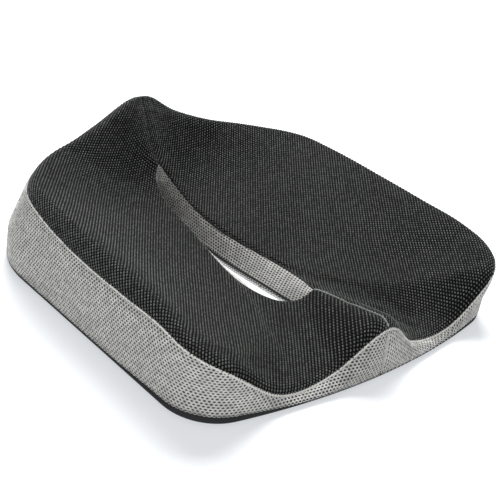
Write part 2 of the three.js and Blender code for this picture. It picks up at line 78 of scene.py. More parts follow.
def place_camera():
    flat = math.cos(CAMERA_ELEVATION)
    back = Vector((
        math.sin(CAMERA_AZIMUTH) * flat, -math.cos(CAMERA_AZIMUTH) * flat, math.sin(CAMERA_ELEVATION),
    ))
    level = Vector((math.cos(CAMERA_AZIMUTH), math.sin(CAMERA_AZIMUTH), 0))
    upright = back.cross(level)
    right = math.cos(CAMERA_ROLL) * level + math.sin(CAMERA_ROLL) * upright
    up = math.cos(CAMERA_ROLL) * upright - math.sin(CAMERA_ROLL) * level
    data = bpy.data.cameras.new("camera")
    data.lens = CAMERA_LENS
    data.sensor_width = 36
    camera = linked("camera", data)
    turned = Matrix((right, up, back)).transposed().to_4x4()
    camera.matrix_world = Matrix.Translation(LOOK_AT + back * CAMERA_DISTANCE) @ turned
    bpy.context.scene.camera = camera


place_camera()

# %% [markdown]
# ## The shape of the skin
# Every fabric piece of a tight cover lies on one closed skin, so the skin is worked out once and
# the pieces are cut from it, as a pattern maker cuts panels from a dress form. The skin is a fan of
# upright sections that run from the slot to the outer edge. A few sizes are given at thirteen
# stations from the front centre to the back centre, and a smooth curve fills in between. A
# structured grid like this is better here than a sculpted mesh: each seam is one row of it, and
# each column is one section, so a panel is just a block of rows.

# %% Sizes of the skin, in millimetres
WIDTH = 446
DEPTH = 446
FRONT_EDGE_RADIUS = 900
FRONT_CORNER_RADIUS = 54
BACK_EDGE_RADIUS = 520
BACK_CORNER_RADIUS = 110
SEAM_HEIGHT = [55, 17, 15, 60, 76, 75, 75, 79, 86, 91, 97, 111, 134]
RIM_RISE = [9, 5, 5, 7, 12, 18, 21, 20, 15, 10, 8, 7, 7]
SEAM_INSET = [3, 11, 5, -6, -2, 0, 1, 4, 12, 23, 18, 6, 0]
SEAT_CURVE = [0.75, 1.3, 1.5, 1.7, 1.7, 1.6, 1.6, 1.6, 1.7, 1.8, 1.8, 1.7, 1.6]
SLOT_HALF_WIDTH = [0, 14, 26, 33, 36, 32, 25, 18, 15, 14, 12, 7, 0]
SLOT_Y = [110, 115, 128, 150, 180, 212, 246, 280, 312, 342, 364, 379, 385]
SLOT_HEIGHT = [45, 34, 28, 25, 24, 24, 26, 29, 34, 41, 51, 63, 73]
SLOT_TAPER = [8, 11, 22, 30.5, 33.5, 29.5, 22, 14, 10, 8, 7, 7, 6]
HEM_HEIGHT = [4.5, 4.5, 6.5, 10, 9, 6.5, 6, 6, 6, 6, 6, 6, 6]
RIM_WIDTH = 14
WALL_FOOT = 34
SLOT_ROUNDING = 4.5  # the foam's edge round the top of the slot
BASE_ROUNDING = 3
STATIONS = len(SEAM_HEIGHT) - 1
FRAME_SHIFT = -1.0  # the sections' frame is set back this far in the object's frame

# %% Smooth values between the stations, and the outline in plan


def between(values, place, mirror_sign=1):
    """Catmull-Rom values at an array of places; the other half mirrors them at both ends."""
    v = np.array(values, float)
    padded = np.concatenate([[mirror_sign * v[1]], v, mirror_sign * v[-2:-4:-1]])
    i = np.minimum(np.floor(place).astype(int), STATIONS - 1)
    t = place - i
    a, b, c, d = (padded[i + k] for k in range(4))
    square = 2 * a - 5 * b + 4 * c - d
    cube = 3 * b - a - 3 * c + d
    return 0.5 * (2 * b + (c - a) * t + square * t**2 + cube * t**3)


def arc(centre_x, centre_y, radius, start, end, steps=200):
    angle = np.linspace(start, end, steps)
    return np.stack([centre_x + radius * np.cos(angle), centre_y + radius * np.sin(angle)], 1)


def corner_centre(edge_radius, corner_radius):
    x = WIDTH / 2 - corner_radius
    return x, math.sqrt((edge_radius - corner_radius) ** 2 - x**2)


BACK_CENTRE_Y = DEPTH / 2 - BACK_EDGE_RADIUS


def half_outline():
    front_x, front_rise = corner_centre(FRONT_EDGE_RADIUS, FRONT_CORNER_RADIUS)
    back_x, back_rise = corner_centre(BACK_EDGE_RADIUS, BACK_CORNER_RADIUS)
    front_centre_y = FRONT_EDGE_RADIUS - DEPTH / 2
    front_turn = math.atan2(-front_rise, front_x)
    back_turn = math.atan2(back_rise, back_x)
    points = np.concatenate(
        [
            arc(0, front_centre_y, FRONT_EDGE_RADIUS, -math.pi / 2, front_turn),
            arc(front_x, front_centre_y - front_rise, FRONT_CORNER_RADIUS, front_turn, 0),
            arc(back_x, BACK_CENTRE_Y + back_rise, BACK_CORNER_RADIUS, 0, back_turn),
            arc(0, BACK_CENTRE_Y, BACK_EDGE_RADIUS, back_turn, math.pi / 2),
        ]
    )
    reach = np.concatenate([[0], np.cumsum(np.linalg.norm(np.diff(points, axis=0), axis=1))])
    return points, reach


OUTLINE, REACH = half_outline()


def outline_at(place):
    want = place / STATIONS * REACH[-1]
    return np.stack([np.interp(want, REACH, OUTLINE[:, k]) for k in (0, 1)], 1)


print("half outline:", round(REACH[-1]), "mm")

# %% [markdown]
# ## One section, rounded where foam is rounded
# The section climbs the slot wall, rolls over the slot's edge, crosses the seat, goes over the rim
# to the top seam, down the wall to the hem, and back underneath. Foam has no sharp edge, so the
# edges of the slot and of the base are rounded with short Bezier curves. The rows of the grid
# are closest together where the skin bends most.

# %% Rows of one section
WALL_STEPS, ROUND_STEPS, SEAT_STEPS, RIM_STEPS, BAND_STEPS, BASE_STEPS, FLOOR_STEPS = 7, 6, 26, 6, 13, 3, 9
SLOT_SEAM = WALL_STEPS + 2  # a third of the way over the slot's rounded edge
SEAT_START = WALL_STEPS + ROUND_STEPS
TOP_SEAM = SEAT_START + SEAT_STEPS + RIM_STEPS
HEM = TOP_SEAM + BAND_STEPS
BASE_EDGE = HEM + BASE_STEPS
ROWS = BASE_EDGE + FLOOR_STEPS


def bezier(start, corner, end, steps):
    t = (np.arange(1, steps + 1) / steps)[None, :, None]
    curve = (1 - t) ** 2 * start[:, None] + 2 * t * (1 - t) * corner[:, None] + t**2 * end[:, None]
    return curve


def straight(start, end, steps):
    t = (np.arange(1, steps + 1) / steps)[None, :, None]
    return start[:, None] * (1 - t) + end[:, None] * t


def section_rows(place, length):
    """[distance along the ray, height] of every row, for an array of places."""
    slot_height, seam_height = between(SLOT_HEIGHT, place), between(SEAM_HEIGHT, place)
    inset, curve = between(SEAM_INSET, place), between(SEAT_CURVE, place)
    rim_height = seam_height + between(RIM_RISE, place)
    hem = between(HEM_HEIGHT, place)
    seam_at = length - inset
    rim_at = seam_at - RIM_WIDTH
    foot = np.minimum(WALL_FOOT, seam_height / 2)

    def seat(t):
        return np.stack([rim_at * t, slot_height + (rim_height - slot_height) * t**curve], 1)

    slot_bottom = np.stack([-between(SLOT_TAPER, place), np.zeros_like(place)], 1)
    slot_top = seat(np.zeros_like(place))
    down = slot_bottom - slot_top
    below = slot_top + down * (SLOT_ROUNDING / np.linalg.norm(down, axis=1))[:, None]
    first = SLOT_ROUNDING / rim_at
    rows = [slot_bottom[:, None], straight(slot_bottom, below, WALL_STEPS)]
    rows.append(bezier(below, slot_top, seat(first), ROUND_STEPS))
    for k in range(1, SEAT_STEPS + 1):
        rows.append(seat(first + (1 - first) * k / SEAT_STEPS)[:, None])
    for k in range(1, RIM_STEPS + 1):
        t = k / RIM_STEPS
        height = rim_height - (rim_height - seam_height) * t**2
        rows.append(np.stack([rim_at + RIM_WIDTH * t, height], 1)[:, None])
    for k in range(1, BAND_STEPS + 1):
        height = seam_height + (hem - seam_height) * k / BAND_STEPS
        lean = np.maximum(0, (height - foot) / (seam_height - foot))
        rows.append(np.stack([length - inset * lean, height], 1)[:, None])
    base = np.stack([length, np.zeros_like(place)], 1)
    above = np.stack([length, np.full_like(place, BASE_ROUNDING)], 1)
    under = np.stack([length - BASE_ROUNDING, np.zeros_like(place)], 1)
    rows += [above[:, None], bezier(above, base, under, BASE_STEPS - 1)]
    rows.append(straight(under, slot_bottom, FLOOR_STEPS)[:, :-1])
    return np.concatenate(rows, 1)


# %% The whole skin as a grid of columns and rows
HALF_COLUMNS = 120
COLUMNS = 2 * HALF_COLUMNS


def skin_grid():
    column = np.arange(COLUMNS)
    is_left = column > HALF_COLUMNS
    place = np.where(is_left, COLUMNS - column, column) * STATIONS / HALF_COLUMNS
    side = np.where(is_left, -1.0, 1.0)
    edge = outline_at(place)
    start = np.stack([between(SLOT_HALF_WIDTH, place, -1), between(SLOT_Y, place) - DEPTH / 2], 1)
    length = np.linalg.norm(edge - start, axis=1)
    ray = (edge - start) / length[:, None]
    rows = section_rows(place, length)
    plan = start[:, None] + ray[:, None] * rows[:, :, :1]
    points = np.concatenate([plan, rows[:, :, 1:]], 2)
    points[:, :, 0] *= side[:, None]
    points[:, :, 1] += FRAME_SHIFT
    start[:, 0] *= side
    ray[:, 0] *= side
    return points * MM, start * MM, ray, place


SKIN, SLOT_START, RAY, PLACE = skin_grid()
print("skin grid:", SKIN.shape, "rows:", ROWS)

# %% [markdown]
# ## Filling it out with cloth simulation
# A sewn cover over foam isn't made of flat facets: the foam pushes each panel out between its
# seams. The skin becomes a closed cloth with a little air pressure inside and no gravity, with the
# rows that are seams sewn fast. Twenty frames are enough for it to settle. How far a point may
# move is capped, and the cap fades to nothing where the zip is sewn to the back wall and under the
# cushion, where it lies on the table. The simulated grid keeps its rows and columns.

# %% Simulate the skin
PRESSURE = 4.0
SETTLE_FRAMES = 20
SWELL = {"seat": 0.0022, "wall": 0.0026, "slot": 0.0080}  # most that each may swell, in metres
ZIP_HALF_WIDTH = 0.150
ZIP_ZONE_HEIGHT = 0.044
ZIP_FADE = (0.03, 0.02)  # how far the cap fades in, to the side of the zip's zone and above it
BACK_WALL_Y = 0.1  # the back wall is behind this


def grid_faces(columns, rows, ring):
    i, k = np.meshgrid(np.arange(columns if ring else columns - 1), np.arange(rows - 1), indexing="ij")
    j = (i + 1) % columns
    return np.stack([i * rows + k, j * rows + k, j * rows + k + 1, i * rows + k + 1], 2).reshape(-1, 4)


def body_faces():
    """The faces of the whole grid, closed from its last row back to its first."""
    column = np.arange(COLUMNS)
    after = (column + 1) % COLUMNS
    closing = np.stack([column * ROWS + ROWS - 1, after * ROWS + ROWS - 1, after * ROWS, column * ROWS], 1)
    return np.concatenate([grid_faces(COLUMNS, ROWS, True), closing])


def mesh_object(name, points, faces, edges=()):
    mesh = bpy.data.meshes.new(name)
    faces = faces.tolist() if isinstance(faces, np.ndarray) else faces
    mesh.from_pydata(np.asarray(points).reshape(-1, 3).tolist(), edges, faces)
    mesh.update()
    return linked(name, mesh)


def face_out(made):
    """Turns a closed mesh's faces outwards, and shades it smooth."""
    shape = bmesh.new()
    shape.from_mesh(made.data)
    if shape.calc_volume(signed=True) < 0:
        bmesh.ops.reverse_faces(shape, faces=shape.faces)
        shape.to_mesh(made.data)
    shape.free()
    made.data.shade_smooth()


def coordinates(mesh):
    flat = np.empty(len(mesh.vertices) * 3, np.float32)
    mesh.vertices.foreach_get("co", flat)
    return flat.reshape(-1, 3).astype(float)


def swell_caps():
    """The most that each point of the skin may move, with rows that are sewn fast at zero."""
    row = np.arange(ROWS)
    caps = np.zeros((COLUMNS, ROWS))
    for first, last, most in (
        (0, SLOT_SEAM, SWELL["slot"]),
        (SLOT_SEAM, TOP_SEAM, SWELL["seat"]),
        (TOP_SEAM, HEM, SWELL["wall"]),
    ):
        t = np.clip((row - first) / (last - first), 0, 1)
        caps += most * np.sqrt(np.clip(4 * t * (1 - t), 0, 1))
    x, y, z = (SKIN[:, :, k] for k in range(3))
    beside = np.clip((np.abs(x) - ZIP_HALF_WIDTH) / ZIP_FADE[0], 0, 1)
    above = np.clip((z - ZIP_ZONE_HEIGHT) / ZIP_FADE[1], 0, 1)
    off_zip = np.where((y > BACK_WALL_Y) & (row > TOP_SEAM), np.maximum(beside, above), 1)
    return caps * off_zip


def simulate_skin(points):
    cloth = mesh_object("skin_cloth", points, body_faces())
    face_out(cloth)
    sewn = cloth.vertex_groups.new(name="sewn")
    fast = [0, SLOT_SEAM, TOP_SEAM] + list(range(HEM, ROWS))
    sewn.add([c * ROWS + r for c in range(COLUMNS) for r in fast], 1.0, "REPLACE")
    modifier = cloth.modifiers.new("cloth", "CLOTH")
    settings = modifier.settings
    settings.vertex_group_mass = "sewn"
    settings.quality = 6
    settings.mass = 0.25
    settings.tension_stiffness = 8
    settings.compression_stiffness = 8
    settings.shear_stiffness = 4
    settings.bending_stiffness = 0.4
    settings.use_pressure = True
    settings.uniform_pressure_force = PRESSURE
    settings.effector_weights.gravity = 0
    modifier.collision_settings.use_self_collision = False
    modifier.point_cache.frame_start = 1
    modifier.point_cache.frame_end = SETTLE_FRAMES
    scene = bpy.context.scene
    for step in range(1, SETTLE_FRAMES + 1):
        scene.frame_set(step)
    settled = cloth.evaluated_get(bpy.context.evaluated_depsgraph_get())
    moved = coordinates(settled.data).reshape(COLUMNS, ROWS, 3)
    scene.frame_set(1)
    bpy.data.objects.remove(cloth)
    return moved


def capped(points, moved, caps):
    shift = moved - points
    reach = np.linalg.norm(shift, axis=2)
    scale = np.minimum(1, caps / np.maximum(reach, 1e-9))
    return points + shift * scale[:, :, None]


moved_skin = simulate_skin(SKIN)
SKIN = capped(SKIN, moved_skin, swell_caps())
print("most the cap held back:", round(float(np.abs(moved_skin - SKIN).max()) / MM, 1), "mm")

# %% [markdown]
# ## Normals and seam dips
# A stitched seam pulls the cloth down into the foam. The skin's own normals, taken from its grid,
# give the direction, and every panel is dipped by a millimetre or two close to its seams. The same
# normals then give each fabric its thickness, so the layers nest without touching.

# %% Normals of the grid, and the dips
SEAM_DIP = 0.0016
DIP_WIDTH = 0.0045


def grid_normals(points):
    """Outward normals of a grid that closes on itself both ways."""
    round_ring = np.roll(points, -1, 0) - np.roll(points, 1, 0)
    along = np.roll(points, -1, 1) - np.roll(points, 1, 1)
    normal = np.cross(round_ring, along)
    normal /= np.maximum(np.linalg.norm(normal, axis=2), 1e-12)[:, :, None]
    top = normal[:, SEAT_START + SEAT_STEPS // 2, 2]
    return normal * (1 if top.mean() > 0 else -1)


def row_reach(points):
    """The distance along each section from its first row to every row."""
    step = np.linalg.norm(np.diff(points, axis=1), axis=2)
    return np.concatenate([np.zeros((len(points), 1)), np.cumsum(step, 1)], 1)


def dipped(points, normals):
    reach = row_reach(points)
    depth = np.zeros(reach.shape)
    for seam in (SLOT_SEAM, TOP_SEAM):
        away = (reach - reach[:, seam : seam + 1]) / DIP_WIDTH
        depth += SEAM_DIP * np.exp(-(away**2))
    across = np.abs(points[:, :, 0]) / DIP_WIDTH
    on_top = np.zeros(ROWS)
    on_top[SLOT_SEAM:HEM] = 1
    depth = np.maximum(depth, SEAM_DIP * np.exp(-(across**2)) * on_top[None, :])
    return points - normals * depth[:, :, None]


NORMALS = grid_normals(SKIN)
SKIN = dipped(SKIN, NORMALS)
NORMALS = grid_normals(SKIN)
print("dips sewn, mean upward share of the seat:", round(float(NORMALS[:, SEAT_START + 10, 2].mean()), 3))

# %% [markdown]
# ## A helper for node trees
# Geometry nodes and shader nodes are built the same way: add a node, set its options, and give each
# input either a number or a link from another node. One small helper does that, so the trees below
# read as short lists.

# %% The node helper, and shader node groups for the knits


def add(tree, kind, inputs=None, **options):
    """Adds a node. inputs maps a socket's name or number to a value or to another node's socket."""
    made = tree.nodes.new(kind)
    for option, value in options.items():
        setattr(made, option, value)
    for key, value in (inputs or {}).items():
        if isinstance(value, bpy.types.NodeSocket):
            tree.links.new(value, made.inputs[key])
        else:
            made.inputs[key].default_value = value
    return made


def sums(tree, operation, a, b=0.0, c=0.0):
    """One maths node, and its result."""
    return add(tree, "ShaderNodeMath", {0: a, 1: b, 2: c}, operation=operation).outputs[0]


def group_with(name, inputs, outputs):
    """A shader node group, its input node and its output node."""
    group = bpy.data.node_groups.new(name, "ShaderNodeTree")
    for label, value in inputs:
        kind = "NodeSocketVector" if value is None else "NodeSocketFloat"
        socket = group.interface.new_socket(label, in_out="INPUT", socket_type=kind)
        if value is not None:
            socket.default_value = value
    for label in outputs:
        group.interface.new_socket(label, in_out="OUTPUT", socket_type="NodeSocketFloat")
    return group, group.nodes.new("NodeGroupInput"), group.nodes.new("NodeGroupOutput")


def knit_holes():
    """Staggered oval holes of a spacer mesh, on coordinates in metres that follow the cloth."""
    sizes = [("Cloth", None), ("Across", 0.0044), ("Along", 0.0031), ("Hole", 0.3), ("Soft", 0.12)]
    group, given, result = group_with("knit_holes", sizes, ["Hole", "Height"])
    split = add(group, "ShaderNodeSeparateXYZ", {0: given.outputs["Cloth"]})
    across = sums(group, "DIVIDE", split.outputs[0], given.outputs["Across"])
    pair = sums(group, "MULTIPLY", given.outputs["Along"], 2.0)
    along = sums(group, "DIVIDE", split.outputs[1], pair)
    aspect = sums(group, "DIVIDE", pair, given.outputs["Across"])
    reaches = []
    for shift in (0.5, 0.0):
        x = sums(group, "SUBTRACT", sums(group, "FRACT", sums(group, "ADD", across, shift)), 0.5)
        y = sums(group, "SUBTRACT", sums(group, "FRACT", sums(group, "ADD", along, shift)), 0.5)
        y = sums(group, "MULTIPLY", sums(group, "MULTIPLY", y, aspect), 1.25)
        squared = sums(group, "MULTIPLY_ADD", x, x, sums(group, "MULTIPLY", y, y))
        reaches.append(sums(group, "SQRT", squared))
    nearest = sums(group, "MINIMUM", reaches[0], reaches[1])
    outer = sums(group, "ADD", given.outputs["Hole"], given.outputs["Soft"])
    edges = {0: nearest, 1: given.outputs["Hole"], 2: outer, 3: 1.0, 4: 0.0}
    hole = add(group, "ShaderNodeMapRange", edges, interpolation_type="SMOOTHSTEP")
    group.links.new(hole.outputs[0], result.inputs["Hole"])
    group.links.new(sums(group, "SUBTRACT", 1.0, hole.outputs[0]), result.inputs["Height"])
    return group


def yarn_grain():
    """Fine streaks of yarn with slow, broad changes of shade over them."""
    inputs = [("Place", None), ("Fineness", 1800.0), ("Patches", 14.0)]
    group, given, result = group_with("yarn_grain", inputs, ["Fine", "Broad"])
    for label, scale, detail in (("Fine", "Fineness", 2.0), ("Broad", "Patches", 4.0)):
        values = {"Vector": given.outputs["Place"], "Scale": given.outputs[scale], "Detail": detail}
        noise = add(group, "ShaderNodeTexNoise", values)
        group.links.new(noise.outputs[0], result.inputs[label])
    return group


KNIT_HOLES = knit_holes()
YARN_GRAIN = yarn_grain()

# %% [markdown]
# ## Cloth finishes
# The top and the walls are both spacer mesh: two knitted faces held apart by pile. Close up it is a
# net of round yarns with staggered holes between them, and the holes are given a dark colour as
# painted shade. The colour, the holes and the yarn grain come from node groups on coordinates that
# run along the cloth, so the pattern bends with the panel. The shine is a constant on the shader itself.

# %% The finishes of the cover
CLOTH_MAP = "fabric"
TONE = "tone"  # the shade of one yarn, from 0 to 1
TONE_SEED = 7
MESH_ACROSS, MESH_ALONG = 0.0044, 0.0031  # the wall's holes, in metres
TOP_ACROSS, TOP_ALONG = 0.0041, 0.0025  # the top's finer holes
# The second colour of each pair is painted shade, put in the holes where the inner layer lies in shadow.
WALL_PALE, WALL_HOLE_SHADE = (0.46, 0.457, 0.44, 1), (0.045, 0.044, 0.042, 1)
TOP_PALE, TOP_HOLE_SHADE = (0.0045, 0.0047, 0.0046, 1), (0.0006, 0.0006, 0.0006, 1)


def finish(name, roughness, metallic=0.0, **constants):
    """A new material, with its tree and its Principled shader."""
    material = bpy.data.materials.new(name)
    material.use_nodes = True
    shader = material.node_tree.nodes["Principled BSDF"]
    shader.inputs["Roughness"].default_value = roughness
    shader.inputs["Metallic"].default_value = metallic
    for label, value in constants.items():
        shader.inputs[label.replace("_", " ")].default_value = value
    return material, material.node_tree, shader


def grain_of(tree, fineness=1800.0, patches=14.0):
    place = add(tree, "ShaderNodeTexCoord").outputs["Object"]
    group = add(tree, "ShaderNodeGroup", node_tree=YARN_GRAIN)
    tree.links.new(place, group.inputs["Place"])
    group.inputs["Fineness"].default_value = fineness
    group.inputs["Patches"].default_value = patches
    return group


def blend_colours(tree, factor, low, high):
    colours = {0: factor, 6: low, 7: high}
    return add(tree, "ShaderNodeMix", colours, data_type="RGBA").outputs[2]


def ranged(tree, value, low, high):
    """A value from 0 to 1 laid over another range."""
    return add(tree, "ShaderNodeMapRange", {0: value, 3: low, 4: high}).outputs[0]


def shaded(tree, colour, light):
    """A colour made lighter or darker by a value."""
    return add(tree, "ShaderNodeVectorMath", {0: colour[:3], 3: light}, operation="SCALE").outputs[0]


def bumped(tree, shader, height, strength, distance):
    values = {"Height": height, "Strength": strength, "Distance": distance}
    bump = add(tree, "ShaderNodeBump", values)
    tree.links.new(bump.outputs[0], shader.inputs["Normal"])


def mesh_cloth(name, pale, hole_shade, across, along, hole, soft=0.14, shine=0.25):
    """Spacer mesh: pale yarn, holes coloured dark as painted shade, a little unevenness of tone, and relief.
    """
    material, tree, shader = finish(name, 0.92, Specular_IOR_Level=shine)
    cloth = add(tree, "ShaderNodeUVMap", uv_map=CLOTH_MAP).outputs[0]
    holes = add(tree, "ShaderNodeGroup", node_tree=KNIT_HOLES)
    tree.links.new(cloth, holes.inputs["Cloth"])
    for label, value in (("Across", across), ("Along", along), ("Hole", hole), ("Soft", soft)):
        holes.inputs[label].default_value = value
    grain = grain_of(tree)
    broad = ranged(tree, grain.outputs["Broad"], 0.86, 1.12)
    light = sums(tree, "MULTIPLY", broad, ranged(tree, grain.outputs["Fine"], 0.80, 1.18))
    # The holes take the painted shade colour.
    colour = blend_colours(tree, holes.outputs["Hole"], shaded(tree, pale, light), hole_shade)
    tree.links.new(colour, shader.inputs["Base Color"])
    relief = sums(tree, "MULTIPLY_ADD", grain.outputs["Fine"], 0.25, holes.outputs["Height"])
    bumped(tree, shader, relief, 0.7, 0.0006)
    return material


def yarn(name, colour, roughness=0.85, spread=0.0, shine=0.25):
    """Plain round yarn: the threads that stand proud of a mesh, and seams."""
    material, tree, shader = finish(name, roughness, Specular_IOR_Level=shine)
    grain = grain_of(tree)
    broad = ranged(tree, grain.outputs["Broad"], 0.84, 1.14)
    light = sums(tree, "MULTIPLY", broad, ranged(tree, grain.outputs["Fine"], 0.78, 1.2))
    tone = add(tree, "ShaderNodeAttribute", attribute_name=TONE).outputs["Fac"]
    light = sums(tree, "MULTIPLY", light, ranged(tree, tone, 1.0 - spread, 1.0 + spread))
    tree.links.new(shaded(tree, colour, light), shader.inputs["Base Color"])
    bumped(tree, shader, grain.outputs["Fine"], 0.5, 0.0002)
    return material


WALL_CLOTH = mesh_cloth("grey_mesh", WALL_PALE, WALL_HOLE_SHADE, MESH_ACROSS, MESH_ALONG, 0.26)
WALL_YARN = yarn("grey_yarn", (0.53, 0.527, 0.51, 1), spread=0.25)
TOP_CLOTH = mesh_cloth("charcoal_mesh", TOP_PALE, TOP_HOLE_SHADE, TOP_ACROSS, TOP_ALONG, 0.2, shine=0.06)
TOP_YARN = yarn("charcoal_yarn", (0.092, 0.096, 0.093, 1), spread=0.4, shine=0.1)
# A painted highlight: the front seam's welt is a pale grey that stands in for the bright line of light along
# the ridge's crest.
RIDGE_HIGHLIGHT_YARN = yarn("ridge_highlight_yarn", (0.42, 0.43, 0.42, 1))
SEAM_YARN = yarn("seam_yarn", (0.012, 0.012, 0.012, 1))
PALE_EDGE = yarn("pale_edge", (0.66, 0.65, 0.62, 1), 0.75)

# %% [markdown]
# ## The other finishes
# The grip fabric under the cushion is a black woven cloth with soft rubber dots. The liner is a thin
# cream knit, and the foam is open-celled, so its surface is fine pores. The zip has a woven tape, a
# nylon coil and a black enamelled slider whose edges are rubbed brighter.

# %% Finishes of the base, the insides and the zip


def woven(name, colour, fineness, roughness=0.8):
    """A plain weave: two crossed sets of bands on object coordinates."""
    material, tree, shader = finish(name, roughness, Specular_IOR_Level=0.3)
    place = add(tree, "ShaderNodeTexCoord").outputs["Object"]
    waves = []
    for direction in ("X", "Z"):
        values = {"Vector": place, "Scale": fineness, "Distortion": 0.6, "Detail": 1.0}
        waves.append(add(tree, "ShaderNodeTexWave", values, bands_direction=direction).outputs[1])
    weave = sums(tree, "MAXIMUM", waves[0], waves[1])
    light = sums(tree, "MULTIPLY_ADD", weave, 0.5, grain_of(tree).outputs["Broad"])
    tree.links.new(shaded(tree, colour, light), shader.inputs["Base Color"])
    bumped(tree, shader, weave, 0.6, 0.0003)
    return material


def foam_finish():
    material, tree, shader = finish("foam", 0.95, Specular_IOR_Level=0.2)
    place = add(tree, "ShaderNodeTexCoord").outputs["Object"]
    cells = add(tree, "ShaderNodeTexVoronoi", {"Vector": place, "Scale": 900.0})
    pore = add(tree, "ShaderNodeMapRange", {0: cells.outputs["Distance"], 1: 0.1, 2: 0.6})
    # The middles of the cells take the darker colour: painted shade inside the pores.
    colour = blend_colours(tree, pore.outputs[0], (0.50, 0.42, 0.26, 1), (0.80, 0.73, 0.55, 1))
    tree.links.new(colour, shader.inputs["Base Color"])
    bumped(tree, shader, pore.outputs[0], 0.6, 0.0004)
    return material


def moulded(name, roughness, shine, grain, low, high, relief):
    """Rubber or nylon: two close shades in slow patches, and a fine grain."""
    material, tree, shader = finish(name, roughness, Specular_IOR_Level=shine)
    grain = grain_of(tree, *grain)
    colour = blend_colours(tree, grain.outputs["Broad"], low, high)
    tree.links.new(colour, shader.inputs["Base Color"])
    bumped(tree, shader, grain.outputs["Fine"], *relief)
    return material


def worn_metal():
    """Black enamelled die casting: its raised edges are rubbed brighter."""
    material, tree, shader = finish("zip_metal", 0.38, 0.35)
    grain = grain_of(tree, 2500.0, 220.0)
    edges = add(tree, "ShaderNodeNewGeometry").outputs["Pointiness"]
    worn = add(tree, "ShaderNodeMapRange", {0: edges, 1: 0.52, 2: 0.62})
    colour = blend_colours(tree, worn.outputs[0], (0.030, 0.030, 0.032, 1), (0.26, 0.26, 0.27, 1))
    tree.links.new(colour, shader.inputs["Base Color"])
    tree.links.new(ranged(tree, grain.outputs["Broad"], 0.28, 0.50), shader.inputs["Roughness"])
    bumped(tree, shader, grain.outputs["Fine"], 0.15, 0.0001)
    return material


RUBBER_SHADES = (0.010, 0.010, 0.010, 1), (0.022, 0.022, 0.022, 1)
NYLON_SHADES = (0.014, 0.014, 0.015, 1), (0.035, 0.035, 0.036, 1)
GRIP_CLOTH = woven("grip_fabric", (0.012, 0.012, 0.013, 1), 420.0)
GRIP_RUBBER = moulded("grip_rubber", 0.6, 0.45, (600.0, 30.0), *RUBBER_SHADES, (0.3, 0.0002))
LINER_KNIT = woven("liner_knit", (0.62, 0.60, 0.55, 1), 500.0, 0.9)
FOAM = foam_finish()
ZIP_TAPE = woven("zip_tape", (0.018, 0.018, 0.019, 1), 600.0)
ZIP_COIL = moulded("zip_coil", 0.42, 0.5, (1500.0, 60.0), *NYLON_SHADES, (0.2, 0.0001))
ZIP_METAL = worn_metal()
print("finishes:", len(bpy.data.materials))

# %% [markdown]
# ## Cutting panels from the skin
# Each panel is a block of rows and columns of the skin, given the mesh's real thickness inwards and
# closed round its border, so it is a true sheet with two faces. A UV map in metres records how
# the flat cloth was laid: over the top it follows the plan, and round the wall it follows the edge.
# One level of subdivision rounds the cut edges and smooths what the grid left.

# %% A closed panel from rows of the skin
COVER_THICKNESS = 0.0032


def trimmed(block, distance):
    """The block with its first and last rows drawn in, so that two panels don't touch."""
    block = block.copy()
    for end, neighbour in ((0, 1), (-1, -2)):
        step = block[:, neighbour] - block[:, end]
        block[:, end] += step * (distance / np.linalg.norm(step, axis=1))[:, None]
    return block


def lay_map(made, faces, per_point, columns, rows, period):
    """Writes the cloth's own coordinates, carried on past the end where a ring closes."""
    column = (faces % (columns * rows)) // rows
    value = per_point[faces % (columns * rows)]
    wraps = (column.max(1) == columns - 1) & (column.min(1) == 0)
    value[wraps[:, None] & (column == 0)] += (period, 0)
    layer = made.data.uv_layers.new(name=CLOTH_MAP)
    layer.data.foreach_set("uv", value.reshape(-1).astype(np.float32))


def baked(made):
    """Turns an object's modifiers into a plain mesh, and removes them."""
    view = bpy.context.evaluated_depsgraph_get()
    mesh = bpy.data.meshes.new_from_object(made.evaluated_get(view), depsgraph=view)
    made.modifiers.clear()
    old = made.data
    made.data = mesh
    mesh.name = made.name
    bpy.data.meshes.remove(old)
    return made


def rounding(made):
    """One level of subdivision, still to be baked."""
    modifier = made.modifiers.new("round", "SUBSURF")
    modifier.levels = modifier.render_levels = 1


def subdivided(made):
    rounding(made)
    return baked(made)


def closed_sheet(name, outer, normals, cloth, thickness, ring, period=0.0):
    """A sheet with two faces: an outer grid, the same grid set back, and a border round both."""
    columns, rows = outer.shape[:2]
    inner = outer - normals * thickness
    count = columns * rows
    face = grid_faces(columns, rows, ring)
    parts = [face, face[:, ::-1] + count]
    i = np.arange(columns if ring else columns - 1)
    j = (i + 1) % columns
    for row, turn in ((0, 1), (rows - 1, -1)):
        a, b = i * rows + row, j * rows + row
        parts.append(np.stack([b, a, a + count, b + count], 1)[:, ::turn])
    if not ring:
        k = np.arange(rows - 1)
        for column, turn in ((0, 1), (columns - 1, -1)):
            a = column * rows + k
            parts.append(np.stack([a, a + 1, a + 1 + count, a + count], 1)[:, ::turn])
    faces = np.concatenate(parts)
    made = mesh_object(name, np.concatenate([outer.reshape(-1, 3), inner.reshape(-1, 3)]), faces)
    lay_map(made, faces, cloth.reshape(-1, 2), columns, rows, period)
    face_out(made)
    return made


def panel(name, outer, normals, cloth, thickness, material, ring=False, period=0.0):
    """A finished piece of cloth: a closed sheet, rounded, in its own fabric."""
    made = subdivided(closed_sheet(name, outer, normals, cloth, thickness, ring, period))
    made.data.materials.append(material)
    return made


def open_sheet(name, outer, cloth, ring, period=0.0):
    """Only the outer face, for nodes to plant yarns on."""
    columns, rows = outer.shape[:2]
    faces = grid_faces(columns, rows, ring)
    made = mesh_object(name, outer, faces)
    lay_map(made, faces, cloth.reshape(-1, 2), columns, rows, period)
    made.data.shade_smooth()
    return made


